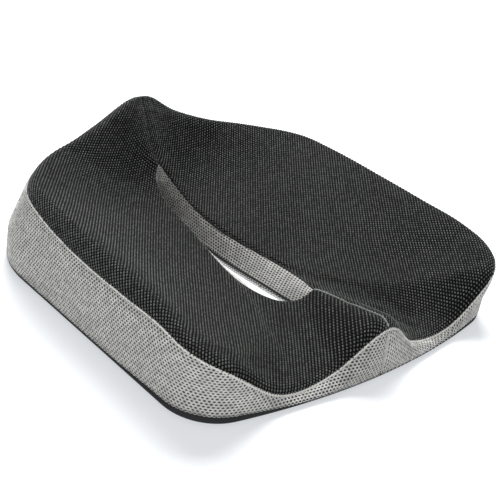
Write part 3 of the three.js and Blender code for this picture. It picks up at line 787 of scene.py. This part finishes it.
# %% [markdown]
# ## Planting yarns with geometry nodes
# A knit is one small shape repeated thousands of times on a lattice that follows the cloth, which is
# what Geometry Nodes are for. The tree lays points on the flat cloth's coordinates, finds each of
# them on the curved panel with Sample UV Surface, turns a yarn to the panel's normal and to a chosen
# direction of the cloth, and joins everything into one mesh. Points off the panel are deleted.

# %% The lattice tree


def geometry_tree(name, inputs):
    tree = bpy.data.node_groups.new(name, "GeometryNodeTree")
    tree.interface.new_socket("Geometry", in_out="INPUT", socket_type="NodeSocketGeometry")
    for label, kind in inputs:
        tree.interface.new_socket(label, in_out="INPUT", socket_type="NodeSocket" + kind)
    tree.interface.new_socket("Geometry", in_out="OUTPUT", socket_type="NodeSocketGeometry")
    return tree, tree.nodes.new("NodeGroupInput").outputs, tree.nodes.new("NodeGroupOutput")


def stretched(tree, given, shape, height):
    """A shape of radius 1 brought to the given length, width and height."""
    half = sums(tree, "MULTIPLY", given["Length"], 0.5)
    wide = sums(tree, "MULTIPLY", given["Width"], 0.5)
    scale = add(tree, "ShaderNodeCombineXYZ", {0: half, 1: wide, 2: height}).outputs[0]
    return add(tree, "GeometryNodeTransform", {0: shape, "Scale": scale}).outputs[0]


def circle(tree, corners, radius=1.0):
    sizes = {"Resolution": corners, "Radius": radius}
    return add(tree, "GeometryNodeCurvePrimitiveCircle", sizes).outputs[0]


def bead_shape(tree, given):
    """A low, long bead of yarn."""
    ball = add(tree, "GeometryNodeMeshIcoSphere", {"Radius": 1.0, "Subdivisions": 1}).outputs[0]
    return stretched(tree, given, ball, given["Height"])


def eyelet_shape(tree, given):
    """A loop of yarn round an oval hole. The height is the yarn's own radius."""
    oval = stretched(tree, given, circle(tree, 8), 1.0)
    strand = circle(tree, 3, given["Height"])
    return add(tree, "GeometryNodeCurveToMesh", {0: oval, 1: strand}).outputs[0]


YARN_INPUTS = [("Length", "Float"), ("Width", "Float"), ("Height", "Float"), ("Material", "Material")]
LATTICE_INPUTS = [
    ("Columns", "Int"),
    ("Rows", "Int"),
    ("Start", "Vector"),
    ("Across", "Float"),
    ("Along", "Float"),
    ("Lean", "Vector"),
] + YARN_INPUTS


def finish_tree(tree, given, end, shapes):
    whole = add(tree, "GeometryNodeRealizeInstances", {0: shapes}).outputs[0]
    smooth = add(tree, "GeometryNodeSetShadeSmooth", {0: whole}).outputs[0]
    coloured = add(tree, "GeometryNodeSetMaterial", {0: smooth, "Material": given["Material"]})
    tree.links.new(coloured.outputs[0], end.inputs[0])


def toned_instances(tree, shapes):
    """Gives every yarn its own shade, from a fixed seed, as an attribute that its finish reads."""
    drawn = add(tree, "FunctionNodeRandomValue", {"Seed": TONE_SEED}, data_type="FLOAT")
    stored = {0: shapes, "Name": TONE, "Value": drawn.outputs[1]}
    kinds = {"data_type": "FLOAT", "domain": "INSTANCE"}
    return add(tree, "GeometryNodeStoreNamedAttribute", stored, **kinds).outputs[0]


NUDGE = 0.0004  # how far ahead on the cloth a yarn's direction is taken


def lattice_tree(name, shape):
    tree, given, end = geometry_tree(name, LATTICE_INPUTS)
    count = sums(tree, "MULTIPLY", given["Columns"], given["Rows"])
    number = add(tree, "GeometryNodeInputIndex").outputs[0]
    column = sums(tree, "MODULO", number, given["Columns"])
    row = sums(tree, "FLOOR", sums(tree, "DIVIDE", sums(tree, "ADD", number, 0.5), given["Columns"]))
    stagger = sums(tree, "MULTIPLY", sums(tree, "MODULO", row, 2.0), 0.5)
    start = add(tree, "ShaderNodeSeparateXYZ", {0: given["Start"]}).outputs
    u = sums(tree, "MULTIPLY_ADD", sums(tree, "ADD", column, stagger), given["Across"], start[0])
    v = sums(tree, "MULTIPLY_ADD", row, given["Along"], start[1])
    flat = add(tree, "ShaderNodeCombineXYZ", {0: u, 1: v}).outputs[0]
    points = add(tree, "GeometryNodePoints", {"Count": count, "Position": flat}).outputs[0]
    here = add(tree, "GeometryNodeInputPosition").outputs[0]
    normal = add(tree, "GeometryNodeInputNormal").outputs[0]
    cloth = add(tree, "GeometryNodeInputNamedAttribute", {0: CLOTH_MAP}, data_type="FLOAT_VECTOR").outputs[0]

    def on_panel(value, place):
        sampled = {0: given["Geometry"], 1: value, 2: cloth, 3: place}
        return add(tree, "GeometryNodeSampleUVSurface", sampled, data_type="FLOAT_VECTOR")

    nudge = add(tree, "ShaderNodeVectorMath", {0: given["Lean"], 3: NUDGE}, operation="SCALE").outputs[0]
    ahead = add(tree, "ShaderNodeVectorMath", {0: here, 1: nudge}, operation="ADD").outputs[0]
    spot, facing, next_spot = on_panel(here, here), on_panel(normal, here), on_panel(here, ahead)
    both = {0: spot.outputs[1], 1: next_spot.outputs[1]}
    lost = add(tree, "FunctionNodeBooleanMath", both, operation="NAND")
    apart = {0: next_spot.outputs[0], 1: spot.outputs[0]}
    step = add(tree, "ShaderNodeVectorMath", apart, operation="SUBTRACT")
    for label, value in (("ahead", step), ("facing", facing), ("spot", spot)):
        stored = {0: points, "Name": label, "Value": value.outputs[0]}
        points = add(tree, "GeometryNodeStoreNamedAttribute", stored, data_type="FLOAT_VECTOR").outputs[0]
    points = add(tree, "GeometryNodeDeleteGeometry", {0: points, 1: lost.outputs[0]}).outputs[0]

    def kept(label):
        return add(tree, "GeometryNodeInputNamedAttribute", {0: label}, data_type="FLOAT_VECTOR").outputs[0]

    points = add(tree, "GeometryNodeSetPosition", {0: points, "Position": kept("spot")}).outputs[0]
    axes = {0: kept("facing"), 1: kept("ahead")}
    turn = add(tree, "FunctionNodeAxesToRotation", axes, primary_axis="Z", secondary_axis="X")
    placed = {"Points": points, "Instance": shape(tree, given), "Rotation": turn.outputs[0]}
    shapes = add(tree, "GeometryNodeInstanceOnPoints", placed).outputs[0]
    shapes = toned_instances(tree, shapes)
    for label in ("ahead", "facing", "spot"):
        shapes = add(tree, "GeometryNodeRemoveAttribute", {0: shapes, "Name": label}).outputs[0]
    finish_tree(tree, given, end, shapes)
    return tree


def run_tree(made, tree, size, material, **values):
    """Gives an object a node modifier, sets its inputs by identifier, and bakes the result."""
    modifier = made.modifiers.new("nodes", "NODES")
    modifier.node_group = tree
    sockets = {s.name: s.identifier for s in tree.interface.items_tree if s.in_out == "INPUT"}
    length, width, height = size
    values.update(Length=length, Width=width, Height=height, Material=material)
    for label, value in values.items():
        modifier[sockets[label]] = value
    baked(made)
    print(made.name, "faces:", len(made.data.polygons))
    return made


BEADS = lattice_tree("beads_on_cloth", bead_shape)
EYELETS = lattice_tree("eyelets_on_cloth", eyelet_shape)


def plant(sheet, tree, across, along, lean, size, material):
    """Covers a sheet with yarns, over the part of the flat cloth that it takes up."""
    cloth = np.array([c.uv for c in sheet.data.uv_layers[CLOTH_MAP].data])
    low, high = cloth.min(0), cloth.max(0)
    first = np.floor(low / (across, 2 * along)) * (across, 2 * along)
    columns, rows = (np.ceil((high - first) / (across, along)) + 1).astype(int)
    rounding(sheet)
    start = (float(first[0]), float(first[1]), 0.0)
    lattice = {"Columns": int(columns), "Rows": int(rows), "Start": start, "Across": across, "Along": along}
    return run_tree(sheet, tree, size, material, Lean=lean, **lattice)


# %% [markdown]
# ## Dressing the cushion: the top and the walls
# The charcoal top is two panels sewn together in front of and behind the slot, and the grey wall is
# two bands that meet at the same two seams. The top's yarns lie as long beads on the bias of the
# cloth, which is why its ribs run slantwise. The right band is cut with its holes turned a quarter,
# so the pattern changes direction at the front seam, as cloth does when it is cut from one length.

# %% Cloth coordinates, and the top panels and side bands
PANEL_GAP = 0.0004
RIB_LEAN = (0.664, 0.748, 0)  # the cloth's direction along a rib
STRAIGHT = (1, 0, 0)
RIB_BEAD = (0.0029, 0.0019, 0.0009)  # length, width and height
NET_EYELET = (0.0038, 0.0028, 0.00042)  # length, width and thickness of the yarn
RIGHT_COLUMNS = np.arange(HALF_COLUMNS + 1)
LEFT_COLUMNS = np.concatenate([np.arange(HALF_COLUMNS, COLUMNS), [0]])
SIDES = (("right", RIGHT_COLUMNS), ("left", LEFT_COLUMNS))
ROW_REACH = row_reach(SKIN)
EDGE_REACH = PLACE / STATIONS * REACH[-1] * MM * np.where(np.arange(COLUMNS) > HALF_COLUMNS, -1, 1)


def top_cloth(columns, rows):
    reach = (ROW_REACH - ROW_REACH[:, SLOT_SEAM : SLOT_SEAM + 1])[columns][:, rows]
    return SLOT_START[columns][:, None] + RAY[columns][:, None] * reach[:, :, None]


def band_cloth(columns, rows, label):
    up = (ROW_REACH[:, HEM : HEM + 1] - ROW_REACH)[columns][:, rows]
    round_edge = EDGE_REACH[columns].copy()
    if label == "left":
        round_edge[0] = -abs(round_edge[0])
    round_edge = np.broadcast_to(round_edge[:, None], up.shape)
    return np.stack([up, round_edge] if label == "right" else [round_edge, up], 2)


def cut(columns, first, last):
    rows = np.arange(first, last + 1)
    block = trimmed(SKIN[columns][:, rows], PANEL_GAP)
    return rows, block, NORMALS[columns][:, rows]


def belongs(piece, body, nodes=()):
    """Attaches a finished piece to its body, and hides the CAD nodes that it stands for."""
    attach(piece, body)
    if nodes:
        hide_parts(*nodes)
    return piece


for label, columns in SIDES:
    rows, block, normals = cut(columns, SLOT_SEAM, TOP_SEAM)
    cloth = top_cloth(columns, rows)
    node = "top_panel_" + label
    top = panel(node + "_cloth", block, normals, cloth, COVER_THICKNESS, TOP_CLOTH)
    belongs(top, "cushion", [node])
    ribs = open_sheet(node + "_ribs", block, cloth, False)
    plant(ribs, BEADS, TOP_ACROSS, TOP_ALONG, RIB_LEAN, RIB_BEAD, TOP_YARN)
    belongs(ribs, "cushion")

for label, columns in SIDES:
    rows, block, normals = cut(columns, TOP_SEAM, HEM)
    cloth = band_cloth(columns, rows, label)
    node = "side_band_" + label
    band = panel(node + "_cloth", block, normals, cloth, COVER_THICKNESS, WALL_CLOTH)
    belongs(band, "cushion", [node])
    net = open_sheet(node + "_net", block, cloth, False)
    plant(net, EYELETS, MESH_ACROSS, MESH_ALONG, STRAIGHT, NET_EYELET, WALL_YARN)
    belongs(net, "cushion")

# %% [markdown]
# ## The slot lining
# The through slot is lined with the same grey mesh, sewn to the top a little way down inside the
# rounded edge. It is a ring, so its cloth coordinate has to carry on past the end where it closes.

# %% Line the slot


def ring_reach(path):
    step = np.linalg.norm(np.diff(np.concatenate([path, path[:1]]), axis=0), axis=1)
    return np.concatenate([[0], np.cumsum(step)[:-1]]), float(step.sum())


slot_round, slot_length = ring_reach(SKIN[:, SLOT_SEAM])
whole_turns = round(slot_length / MESH_ACROSS)
slot_round *= whole_turns * MESH_ACROSS / slot_length
slot_length = whole_turns * MESH_ACROSS
ALL_COLUMNS = np.arange(COLUMNS)
rows, block, normals = cut(ALL_COLUMNS, 0, SLOT_SEAM)
lining_cloth = np.stack([np.broadcast_to(slot_round[:, None], block.shape[:2]), ROW_REACH[:, rows]], 2)
lining_ring = (True, slot_length)
lining = panel("slot_lining_cloth", block, normals, lining_cloth, COVER_THICKNESS, WALL_CLOTH, *lining_ring)
belongs(lining, "cushion", ["slot_lining"])
lining_net = open_sheet("slot_lining_net", block, lining_cloth, *lining_ring)
plant(lining_net, EYELETS, MESH_ACROSS, MESH_ALONG, STRAIGHT, NET_EYELET, WALL_YARN)
belongs(lining_net, "cushion")

# %% [markdown]
# ## The base
# The base fabric lies under the whole cushion and turns up the wall as a hem, which shows as a dark
# line round the bottom. It starts just outside the foot of the bands. Rubber dots on it keep the
# cushion from sliding; they are low beads, planted by the same tree as the top's ribs.

# %% The grip fabric and its dots
BASE_THICKNESS = 0.0016
DOT_PITCH = 0.009
DOT_ROWS = 0.86  # the rows are closer together than the dots along them
DOT_SIZE = (0.0042, 0.0042, 0.0009)
HEM_GAP = 0.0005
SLOT_HEM_GAP = 0.002


def base_block():
    rows = np.concatenate([np.arange(HEM, ROWS), [0]])
    block = SKIN[:, rows].copy()
    normals = NORMALS[:, rows].copy()
    down = block[:, 1] - block[:, 0]
    block[:, 0] += down / np.linalg.norm(down, axis=1)[:, None] * HEM_GAP
    inwards = block[:, -2] - block[:, -1]
    block[:, -1] += inwards / np.linalg.norm(inwards, axis=1)[:, None] * SLOT_HEM_GAP
    normals[:, BASE_STEPS + 1 :] = (0, 0, -1)
    return block, normals


base, base_normals = base_block()
base_cloth = base[:, :, :2].copy()
grip = panel("bottom_panel_cloth", base, base_normals, base_cloth, BASE_THICKNESS, GRIP_CLOTH, True)
belongs(grip, "cushion", ["bottom_panel"])
flat_base = base[:, BASE_STEPS + 1 :]
dots = open_sheet("bottom_panel_dots", flat_base, flat_base[:, :, :2], True)
plant(dots, BEADS, DOT_PITCH, DOT_PITCH * DOT_ROWS, STRAIGHT, DOT_SIZE, GRIP_RUBBER)
belongs(dots, "cushion")

# %% [markdown]
# ## Foam and liner
# Nobody sees these while the cover is closed, but the part is an assembly, so both are real. They
# are the same skin set further in. The foam is a closed body, and the liner a thin knit sleeve that
# is open along one line underneath.

# %% Build the insides
LINER_DEPTH, LINER_THICKNESS, FOAM_DEPTH = 0.0040, 0.0006, 0.0050
LINER_GAP = 0.003  # the last row is drawn back this far, which widens the sleeve's opening
EVEN_ROUNDS = 8
GATHERED = 0.5  # the share of one step that gathered rows spread over
LEAST_STEP = 0.0003


def set_back(depth):
    """The skin moved inwards; the flat base moves straight up.

    The directions are evened out first. Without that, the rows beside a seam's dip would cross.
    """
    normals = NORMALS.copy()
    normals[:, 0] = normals[:, 1] = normals[:, 2]
    for _ in range(EVEN_ROUNDS):
        normals[:, 1:-1] = (normals[:, :-2] + 2 * normals[:, 1:-1] + normals[:, 2:]) / 4
        normals = (np.roll(normals, 1, 0) + 2 * normals + np.roll(normals, -1, 0)) / 4
    normals /= np.linalg.norm(normals, axis=2)[:, :, None]
    normals[:, BASE_EDGE:] = (0, 0, -1)
    normals[:, 0] = normals[:, 1]
    moved = SKIN - normals * depth
    share = np.linalg.norm(moved[:, BASE_EDGE:] - moved[:, BASE_EDGE, None], axis=2)
    share /= share[:, -1:]
    # The slot's wall leans, so its lowest rows land under the set-back base. They gather where the
    # wall comes up through it, and the base ends there too.
    for line in moved:
        above = int(np.argmax(line[:, 2] > line[-1, 2]))
        if above > 0:
            low, high = line[above - 1], line[above]
            crossing = low + (high - low) * (line[-1, 2] - low[2]) / (high[2] - low[2])
            line[:above] = crossing + (high - crossing) * np.linspace(0, GATHERED, above)[:, None]
    inner = moved[:, 0] - (0, 0, LEAST_STEP)
    outer = moved[:, BASE_EDGE].copy()
    moved[:, BASE_EDGE:] = outer[:, None] + (inner - outer)[:, None] * share[:, :, None]
    return moved


foam = mesh_object("foam_block", set_back(FOAM_DEPTH), body_faces())
face_out(foam)
foam.data.materials.append(FOAM)
belongs(foam, "cushion", ["foam_core"])

liner_grid = set_back(LINER_DEPTH)
liner_normals = NORMALS.copy()
liner_normals[:, BASE_EDGE:] = (0, 0, -1)
back = liner_grid[:, -2] - liner_grid[:, -1]
liner_grid[:, -1] += back / np.linalg.norm(back, axis=1)[:, None] * LINER_GAP
liner = closed_sheet("liner_sleeve", liner_grid, liner_normals, SKIN[:, :, :2], LINER_THICKNESS, True)
liner.data.materials.append(LINER_KNIT)
belongs(liner, "cushion", ["inner_liner"])

# %% [markdown]
# ## Seams
# Each seam is a folded edge that stands up a little, with stitches over it. The fold is a welt
# swept along a row of the skin, as round as cord. The stitches are short beads planted along the
# same line by a second node tree, which samples a curve at equal steps.

# %% Welts along seams
WELT_SIDES = 8


def welt(name, path, normals, half_width, height, material, sink=0.0, ring=False):
    """A flattened cord swept along a path, with its middle on the skin or sunk below it."""
    ahead = np.roll(path, -1, 0) - np.roll(path, 1, 0)
    if not ring:
        ahead[0], ahead[-1] = path[1] - path[0], path[-1] - path[-2]
    ahead /= np.linalg.norm(ahead, axis=1)[:, None]
    across = np.cross(normals, ahead)
    across /= np.linalg.norm(across, axis=1)[:, None]
    up = np.cross(ahead, across)
    angle = 2 * math.pi * np.arange(WELT_SIDES) / WELT_SIDES
    centre = path - normals * sink
    points = (
        centre[:, None]
        + across[:, None] * (half_width * np.cos(angle))[None, :, None]
        + up[:, None] * (height * np.sin(angle))[None, :, None]
    )
    count = len(path)
    i, k = np.meshgrid(np.arange(count if ring else count - 1), np.arange(WELT_SIDES), indexing="ij")
    j, l = (i + 1) % count, (k + 1) % WELT_SIDES
    corners = [i * WELT_SIDES + k, j * WELT_SIDES + k, j * WELT_SIDES + l, i * WELT_SIDES + l]
    faces = np.stack(corners, 2).reshape(-1, 4).tolist()
    if not ring:
        faces += [list(range(WELT_SIDES))[::-1], [(count - 1) * WELT_SIDES + k for k in range(WELT_SIDES)]]
    made = mesh_object(name, points, faces)
    face_out(made)
    subdivided(made)
    made.data.materials.append(material)
    return made


# %% Stitches along a line
STITCH_INPUTS = [("Pitch", "Float"), ("Slant", "Float")] + YARN_INPUTS


def stitch_tree(name, shape):
    tree, given, end = geometry_tree(name, STITCH_INPUTS)
    line = add(tree, "GeometryNodeMeshToCurve", {0: given["Geometry"]}).outputs[0]
    even = add(tree, "GeometryNodeResampleCurve", {0: line, "Length": given["Pitch"]}, mode="LENGTH")
    tangent = add(tree, "GeometryNodeInputTangent").outputs[0]
    up = add(tree, "GeometryNodeInputNamedAttribute", {0: "up"}, data_type="FLOAT_VECTOR").outputs[0]
    turned = add(
        tree,
        "ShaderNodeVectorRotate",
        {0: tangent, 2: up, 3: given["Slant"]},
        rotation_type="AXIS_ANGLE",
    ).outputs[0]
    turn = add(tree, "FunctionNodeAxesToRotation", {0: up, 1: turned}, primary_axis="Z", secondary_axis="X")
    placed = {"Points": even.outputs[0], "Instance": shape(tree, given), "Rotation": turn.outputs[0]}
    shapes = toned_instances(tree, add(tree, "GeometryNodeInstanceOnPoints", placed).outputs[0])
    shapes = add(tree, "GeometryNodeRemoveAttribute", {0: shapes, "Name": "up"}).outputs[0]
    finish_tree(tree, given, end, shapes)
    return tree


STITCHES = stitch_tree("stitches_on_line", bead_shape)
EDGE_LOOPS = stitch_tree("loops_on_line", eyelet_shape)


def stitch_line(name, path, normals, tree, material, pitch, size, slant, ring=False):
    count = len(path)
    edges = [(i, (i + 1) % count) for i in range(count if ring else count - 1)]
    made = mesh_object(name, path, [], edges)
    up = made.data.attributes.new("up", "FLOAT_VECTOR", "POINT")
    up.data.foreach_set("vector", normals.reshape(-1).astype(np.float32))
    return run_tree(made, tree, size, material, Pitch=pitch, Slant=slant)


# %% The top edge, the slot's edges and the centre seams
# Pitch along the line, then length, width and height of one stitch, and how far it is turned.
EDGE_LOOP = {"pitch": 0.0036, "size": (0.0026, 0.0016, 0.00030), "slant": math.radians(60)}
TOP_STITCH = {"pitch": 0.0034, "size": (0.0026, 0.0007, 0.00045), "slant": math.radians(20)}
TAPE_STITCH = {"pitch": 0.003, "size": (0.0024, 0.0006, 0.0004), "slant": 0.0}
ABOVE_ZIP = 0.037  # the back band's seam ends here, above the zip


def line_of(row, lift=0.0):
    return SKIN[:, row] + NORMALS[:, row] * lift, NORMALS[:, row]


edge = welt("top_edge_welt", *line_of(TOP_SEAM), 0.0009, 0.0007, PALE_EDGE, sink=0.0003, ring=True)
belongs(edge, "cushion", ["top_edge_tape"])
loop_line = line_of(TOP_SEAM, 0.0002)
loops = stitch_line("top_edge_loops", *loop_line, EDGE_LOOPS, PALE_EDGE, ring=True, **EDGE_LOOP)
belongs(loops, "cushion")

slot_seam = welt("slot_top_welt", *line_of(SLOT_SEAM), 0.0012, 0.0010, SEAM_YARN, ring=True)
belongs(slot_seam, "cushion", ["slot_top_seam"])

binding = welt("slot_bottom_cord", *line_of(1, 0.0003), 0.0014, 0.0008, GRIP_CLOTH, ring=True)
belongs(binding, "cushion", ["slot_bottom_binding"])

SEAM_SPECS = (
    # The front welt's pale yarn is a painted highlight on the ridge.
    ("front", 0, (0.0007, 0.0013), 0.0, RIDGE_HIGHLIGHT_YARN),
    ("back", HALF_COLUMNS, (0.0012, 0.0012), 0.0004, SEAM_YARN),
)
for label, column, (half_width, height), sink, material in SEAM_SPECS:
    rows = np.arange(SLOT_SEAM + 1, TOP_SEAM)
    path, normals = SKIN[column, rows], NORMALS[column, rows]
    node = "top_seam_" + label
    seam = welt(node + "_welt", path, normals, half_width, height, material, sink=sink)
    belongs(seam, "cushion", [node])
    crest = path + normals * (height - sink)
    stitches = stitch_line(node + "_stitches", crest, normals, STITCHES, SEAM_YARN, **TOP_STITCH)
    belongs(stitches, "cushion")
    rows = np.arange(TOP_SEAM + 1, HEM)
    path, normals = SKIN[column, rows], NORMALS[column, rows]
    if label == "back":
        kept_rows = path[:, 2] > ABOVE_ZIP
        path, normals = path[kept_rows], normals[kept_rows]
    node = "band_seam_" + label
    seam = welt(node + "_welt", path, normals, 0.0010, 0.0009, WALL_YARN)
    belongs(seam, "cushion", [node])

# %% [markdown]
# ## The zip
# The zip is a nylon coil between two woven tapes, bent round the back wall. The tapes are swept
# bars with a soft edge. A coil shows as a row of rounded turns, one after another, so the turns are
# loops planted along the chain's arc. The slider and pull keep the CAD's shape, because they run in
# real clearances; a copy of each gets its edges rounded and stands for the CAD node.

# %% Tapes and coil
ZIP_HEIGHT = 0.021
TAPE_SPARE = 1.1  # the woven tape is a little thicker than the CAD's
TAPE_STITCH_REACH = (0.0001, 0.0026)  # off the tape's face, and away from its middle
TURN_PITCH = 0.00115
TURN_WIRE = 0.00042
BACK_CENTRE = Vector((0, (BACK_CENTRE_Y + FRAME_SHIFT) * MM, 0))
ARC_POINTS = 96


def arc_path(node, radius, height):
    """Points round the back at a radius, as wide as a CAD node, with their outward directions."""
    low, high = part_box(node)
    half = math.asin(min(1, high.x / radius))
    angle = np.linspace(-half, half, ARC_POINTS)
    out = np.stack([np.sin(angle), np.cos(angle), np.zeros(ARC_POINTS)], 1)
    return np.array(BACK_CENTRE) + out * radius + (0, 0, height), out


def radii_of(node):
    """The least and the most that the node is from the centre of the back edge's arc."""
    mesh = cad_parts[node].data
    away = coordinates(mesh)[:, :2] - np.array(BACK_CENTRE)[:2]
    reach = np.linalg.norm(away, axis=1)
    return float(reach.min()), float(reach.max())


for label, side in (("upper", 1), ("lower", -1)):
    node = "zip_tape_" + label
    low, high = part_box(node)
    inner, outer = radii_of(node)
    middle = (low.z + high.z) / 2
    path, out = arc_path(node, (inner + outer) / 2, middle)
    thick = (outer - inner) / 2 * TAPE_SPARE
    tape = welt(node + "_cloth", path, out, (high.z - low.z) / 2, thick, ZIP_TAPE)
    belongs(tape, "cushion", [node])
    sewn = arc_path(node, outer + TAPE_STITCH_REACH[0], middle + side * TAPE_STITCH_REACH[1])
    stitches = stitch_line(node + "_stitches", *sewn, STITCHES, TOP_YARN, **TAPE_STITCH)
    belongs(stitches, "cushion")


def coil_turn(tree, given):
    """One turn of the coil: a flattened loop that stands across the chain."""
    stand = {0: stretched(tree, given, circle(tree, 12), 1.0), "Rotation": (math.pi / 2, 0.0, 0.0)}
    upright = add(tree, "GeometryNodeTransform", stand).outputs[0]
    strand = circle(tree, 6, given["Height"])
    return add(tree, "GeometryNodeCurveToMesh", {0: upright, 1: strand}).outputs[0]


COIL_TURNS = stitch_tree("coil_turns_on_line", coil_turn)
chain_low, chain_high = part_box("zip_chain")
chain_inner, chain_outer = radii_of("zip_chain")
chain_line = arc_path("zip_chain", (chain_inner + chain_outer) / 2, ZIP_HEIGHT)
turn_size = (chain_high.z - chain_low.z - 2 * TURN_WIRE, chain_outer - chain_inner - 2 * TURN_WIRE, TURN_WIRE)
turn = {"pitch": TURN_PITCH, "size": turn_size, "slant": math.pi / 2}
coil = stitch_line("zip_coil_turns", *chain_line, COIL_TURNS, ZIP_COIL, **turn)
core = welt("zip_coil_cord", *chain_line, 0.0019, 0.00042, ZIP_TAPE)
belongs(coil, "cushion", ["zip_chain"])
belongs(core, "cushion")

# %% Rounded copies of the metal parts
EDGE_ROUNDING = 0.0003


def softened(node, body):
    """A copy of a CAD node with its facets merged and its edges rounded."""
    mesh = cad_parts[node].data.copy()
    shape = bmesh.new()
    shape.from_mesh(mesh)
    bmesh.ops.remove_doubles(shape, verts=shape.verts, dist=1e-6)
    bmesh.ops.dissolve_limit(shape, angle_limit=math.radians(2), verts=shape.verts, edges=shape.edges)
    shape.to_mesh(mesh)
    shape.free()
    made = linked(node + "_metal", mesh)
    bevel = made.modifiers.new("edges", "BEVEL")
    bevel.width = EDGE_ROUNDING
    bevel.segments = 2
    bevel.limit_method = "ANGLE"
    bevel.angle_limit = math.radians(35)
    baked(made)
    made.data.shade_smooth()
    made.data.materials.clear()
    made.data.materials.append(ZIP_METAL)
    return belongs(made, body, [node])


softened("zip_slider", "zip_slider")
softened("zip_pull", "zip_pull")
softened("zip_stop_left", "cushion")
softened("zip_stop_right", "cushion")

# %% [markdown]
# ## Floor and light
# The cushion stands on a plain pale floor under soft light. A large area lamp behind and to the
# right makes the long highlights on the rims; a weaker one at the front left opens the wall's
# shade; the world fills the rest. The floor is just under the rubber dots.

# %% Set the stage
FLOOR_HALF = 6  # half the floor's side
FLOOR_DROP = 0.0009
FLOOR_COLOUR = (0.50, 0.505, 0.515, 1)
FLOOR_GLOW = {"Emission_Color": (0.93, 0.96, 1.0, 1), "Emission_Strength": 0.55}
ROOM_LIGHT = 0.30


def floor():
    corners = [(x * FLOOR_HALF, y * FLOOR_HALF, 0) for x, y in ((-1, -1), (1, -1), (1, 1), (-1, 1))]
    made = mesh_object("floor", corners, [(0, 1, 2, 3)])
    made.location.z = -FLOOR_DROP
    material = finish("floor", 0.9, Specular_IOR_Level=0.1, Base_Color=FLOOR_COLOUR, **FLOOR_GLOW)[0]
    made.data.materials.append(material)


def area_lamp(name, place, size, watts):
    data = bpy.data.lights.new(name, "AREA")
    data.size = size
    data.energy = watts
    lamp = linked(name, data)
    lamp.location = place
    lamp.rotation_euler = (LOOK_AT - Vector(place)).to_track_quat("-Z", "Y").to_euler()


floor()
area_lamp("key", (0.9, 1.15, 1.8), size=1.4, watts=132)
area_lamp("fill", (-2.0, -1.3, 0.40), size=0.6, watts=25)
world = bpy.data.worlds.new("studio")
world.use_nodes = True
world.node_tree.nodes["Background"].inputs["Color"].default_value = (1, 1, 1, 1)
world.node_tree.nodes["Background"].inputs["Strength"].default_value = ROOM_LIGHT
bpy.context.scene.world = world
bpy.context.scene.view_settings.view_transform = "Standard"
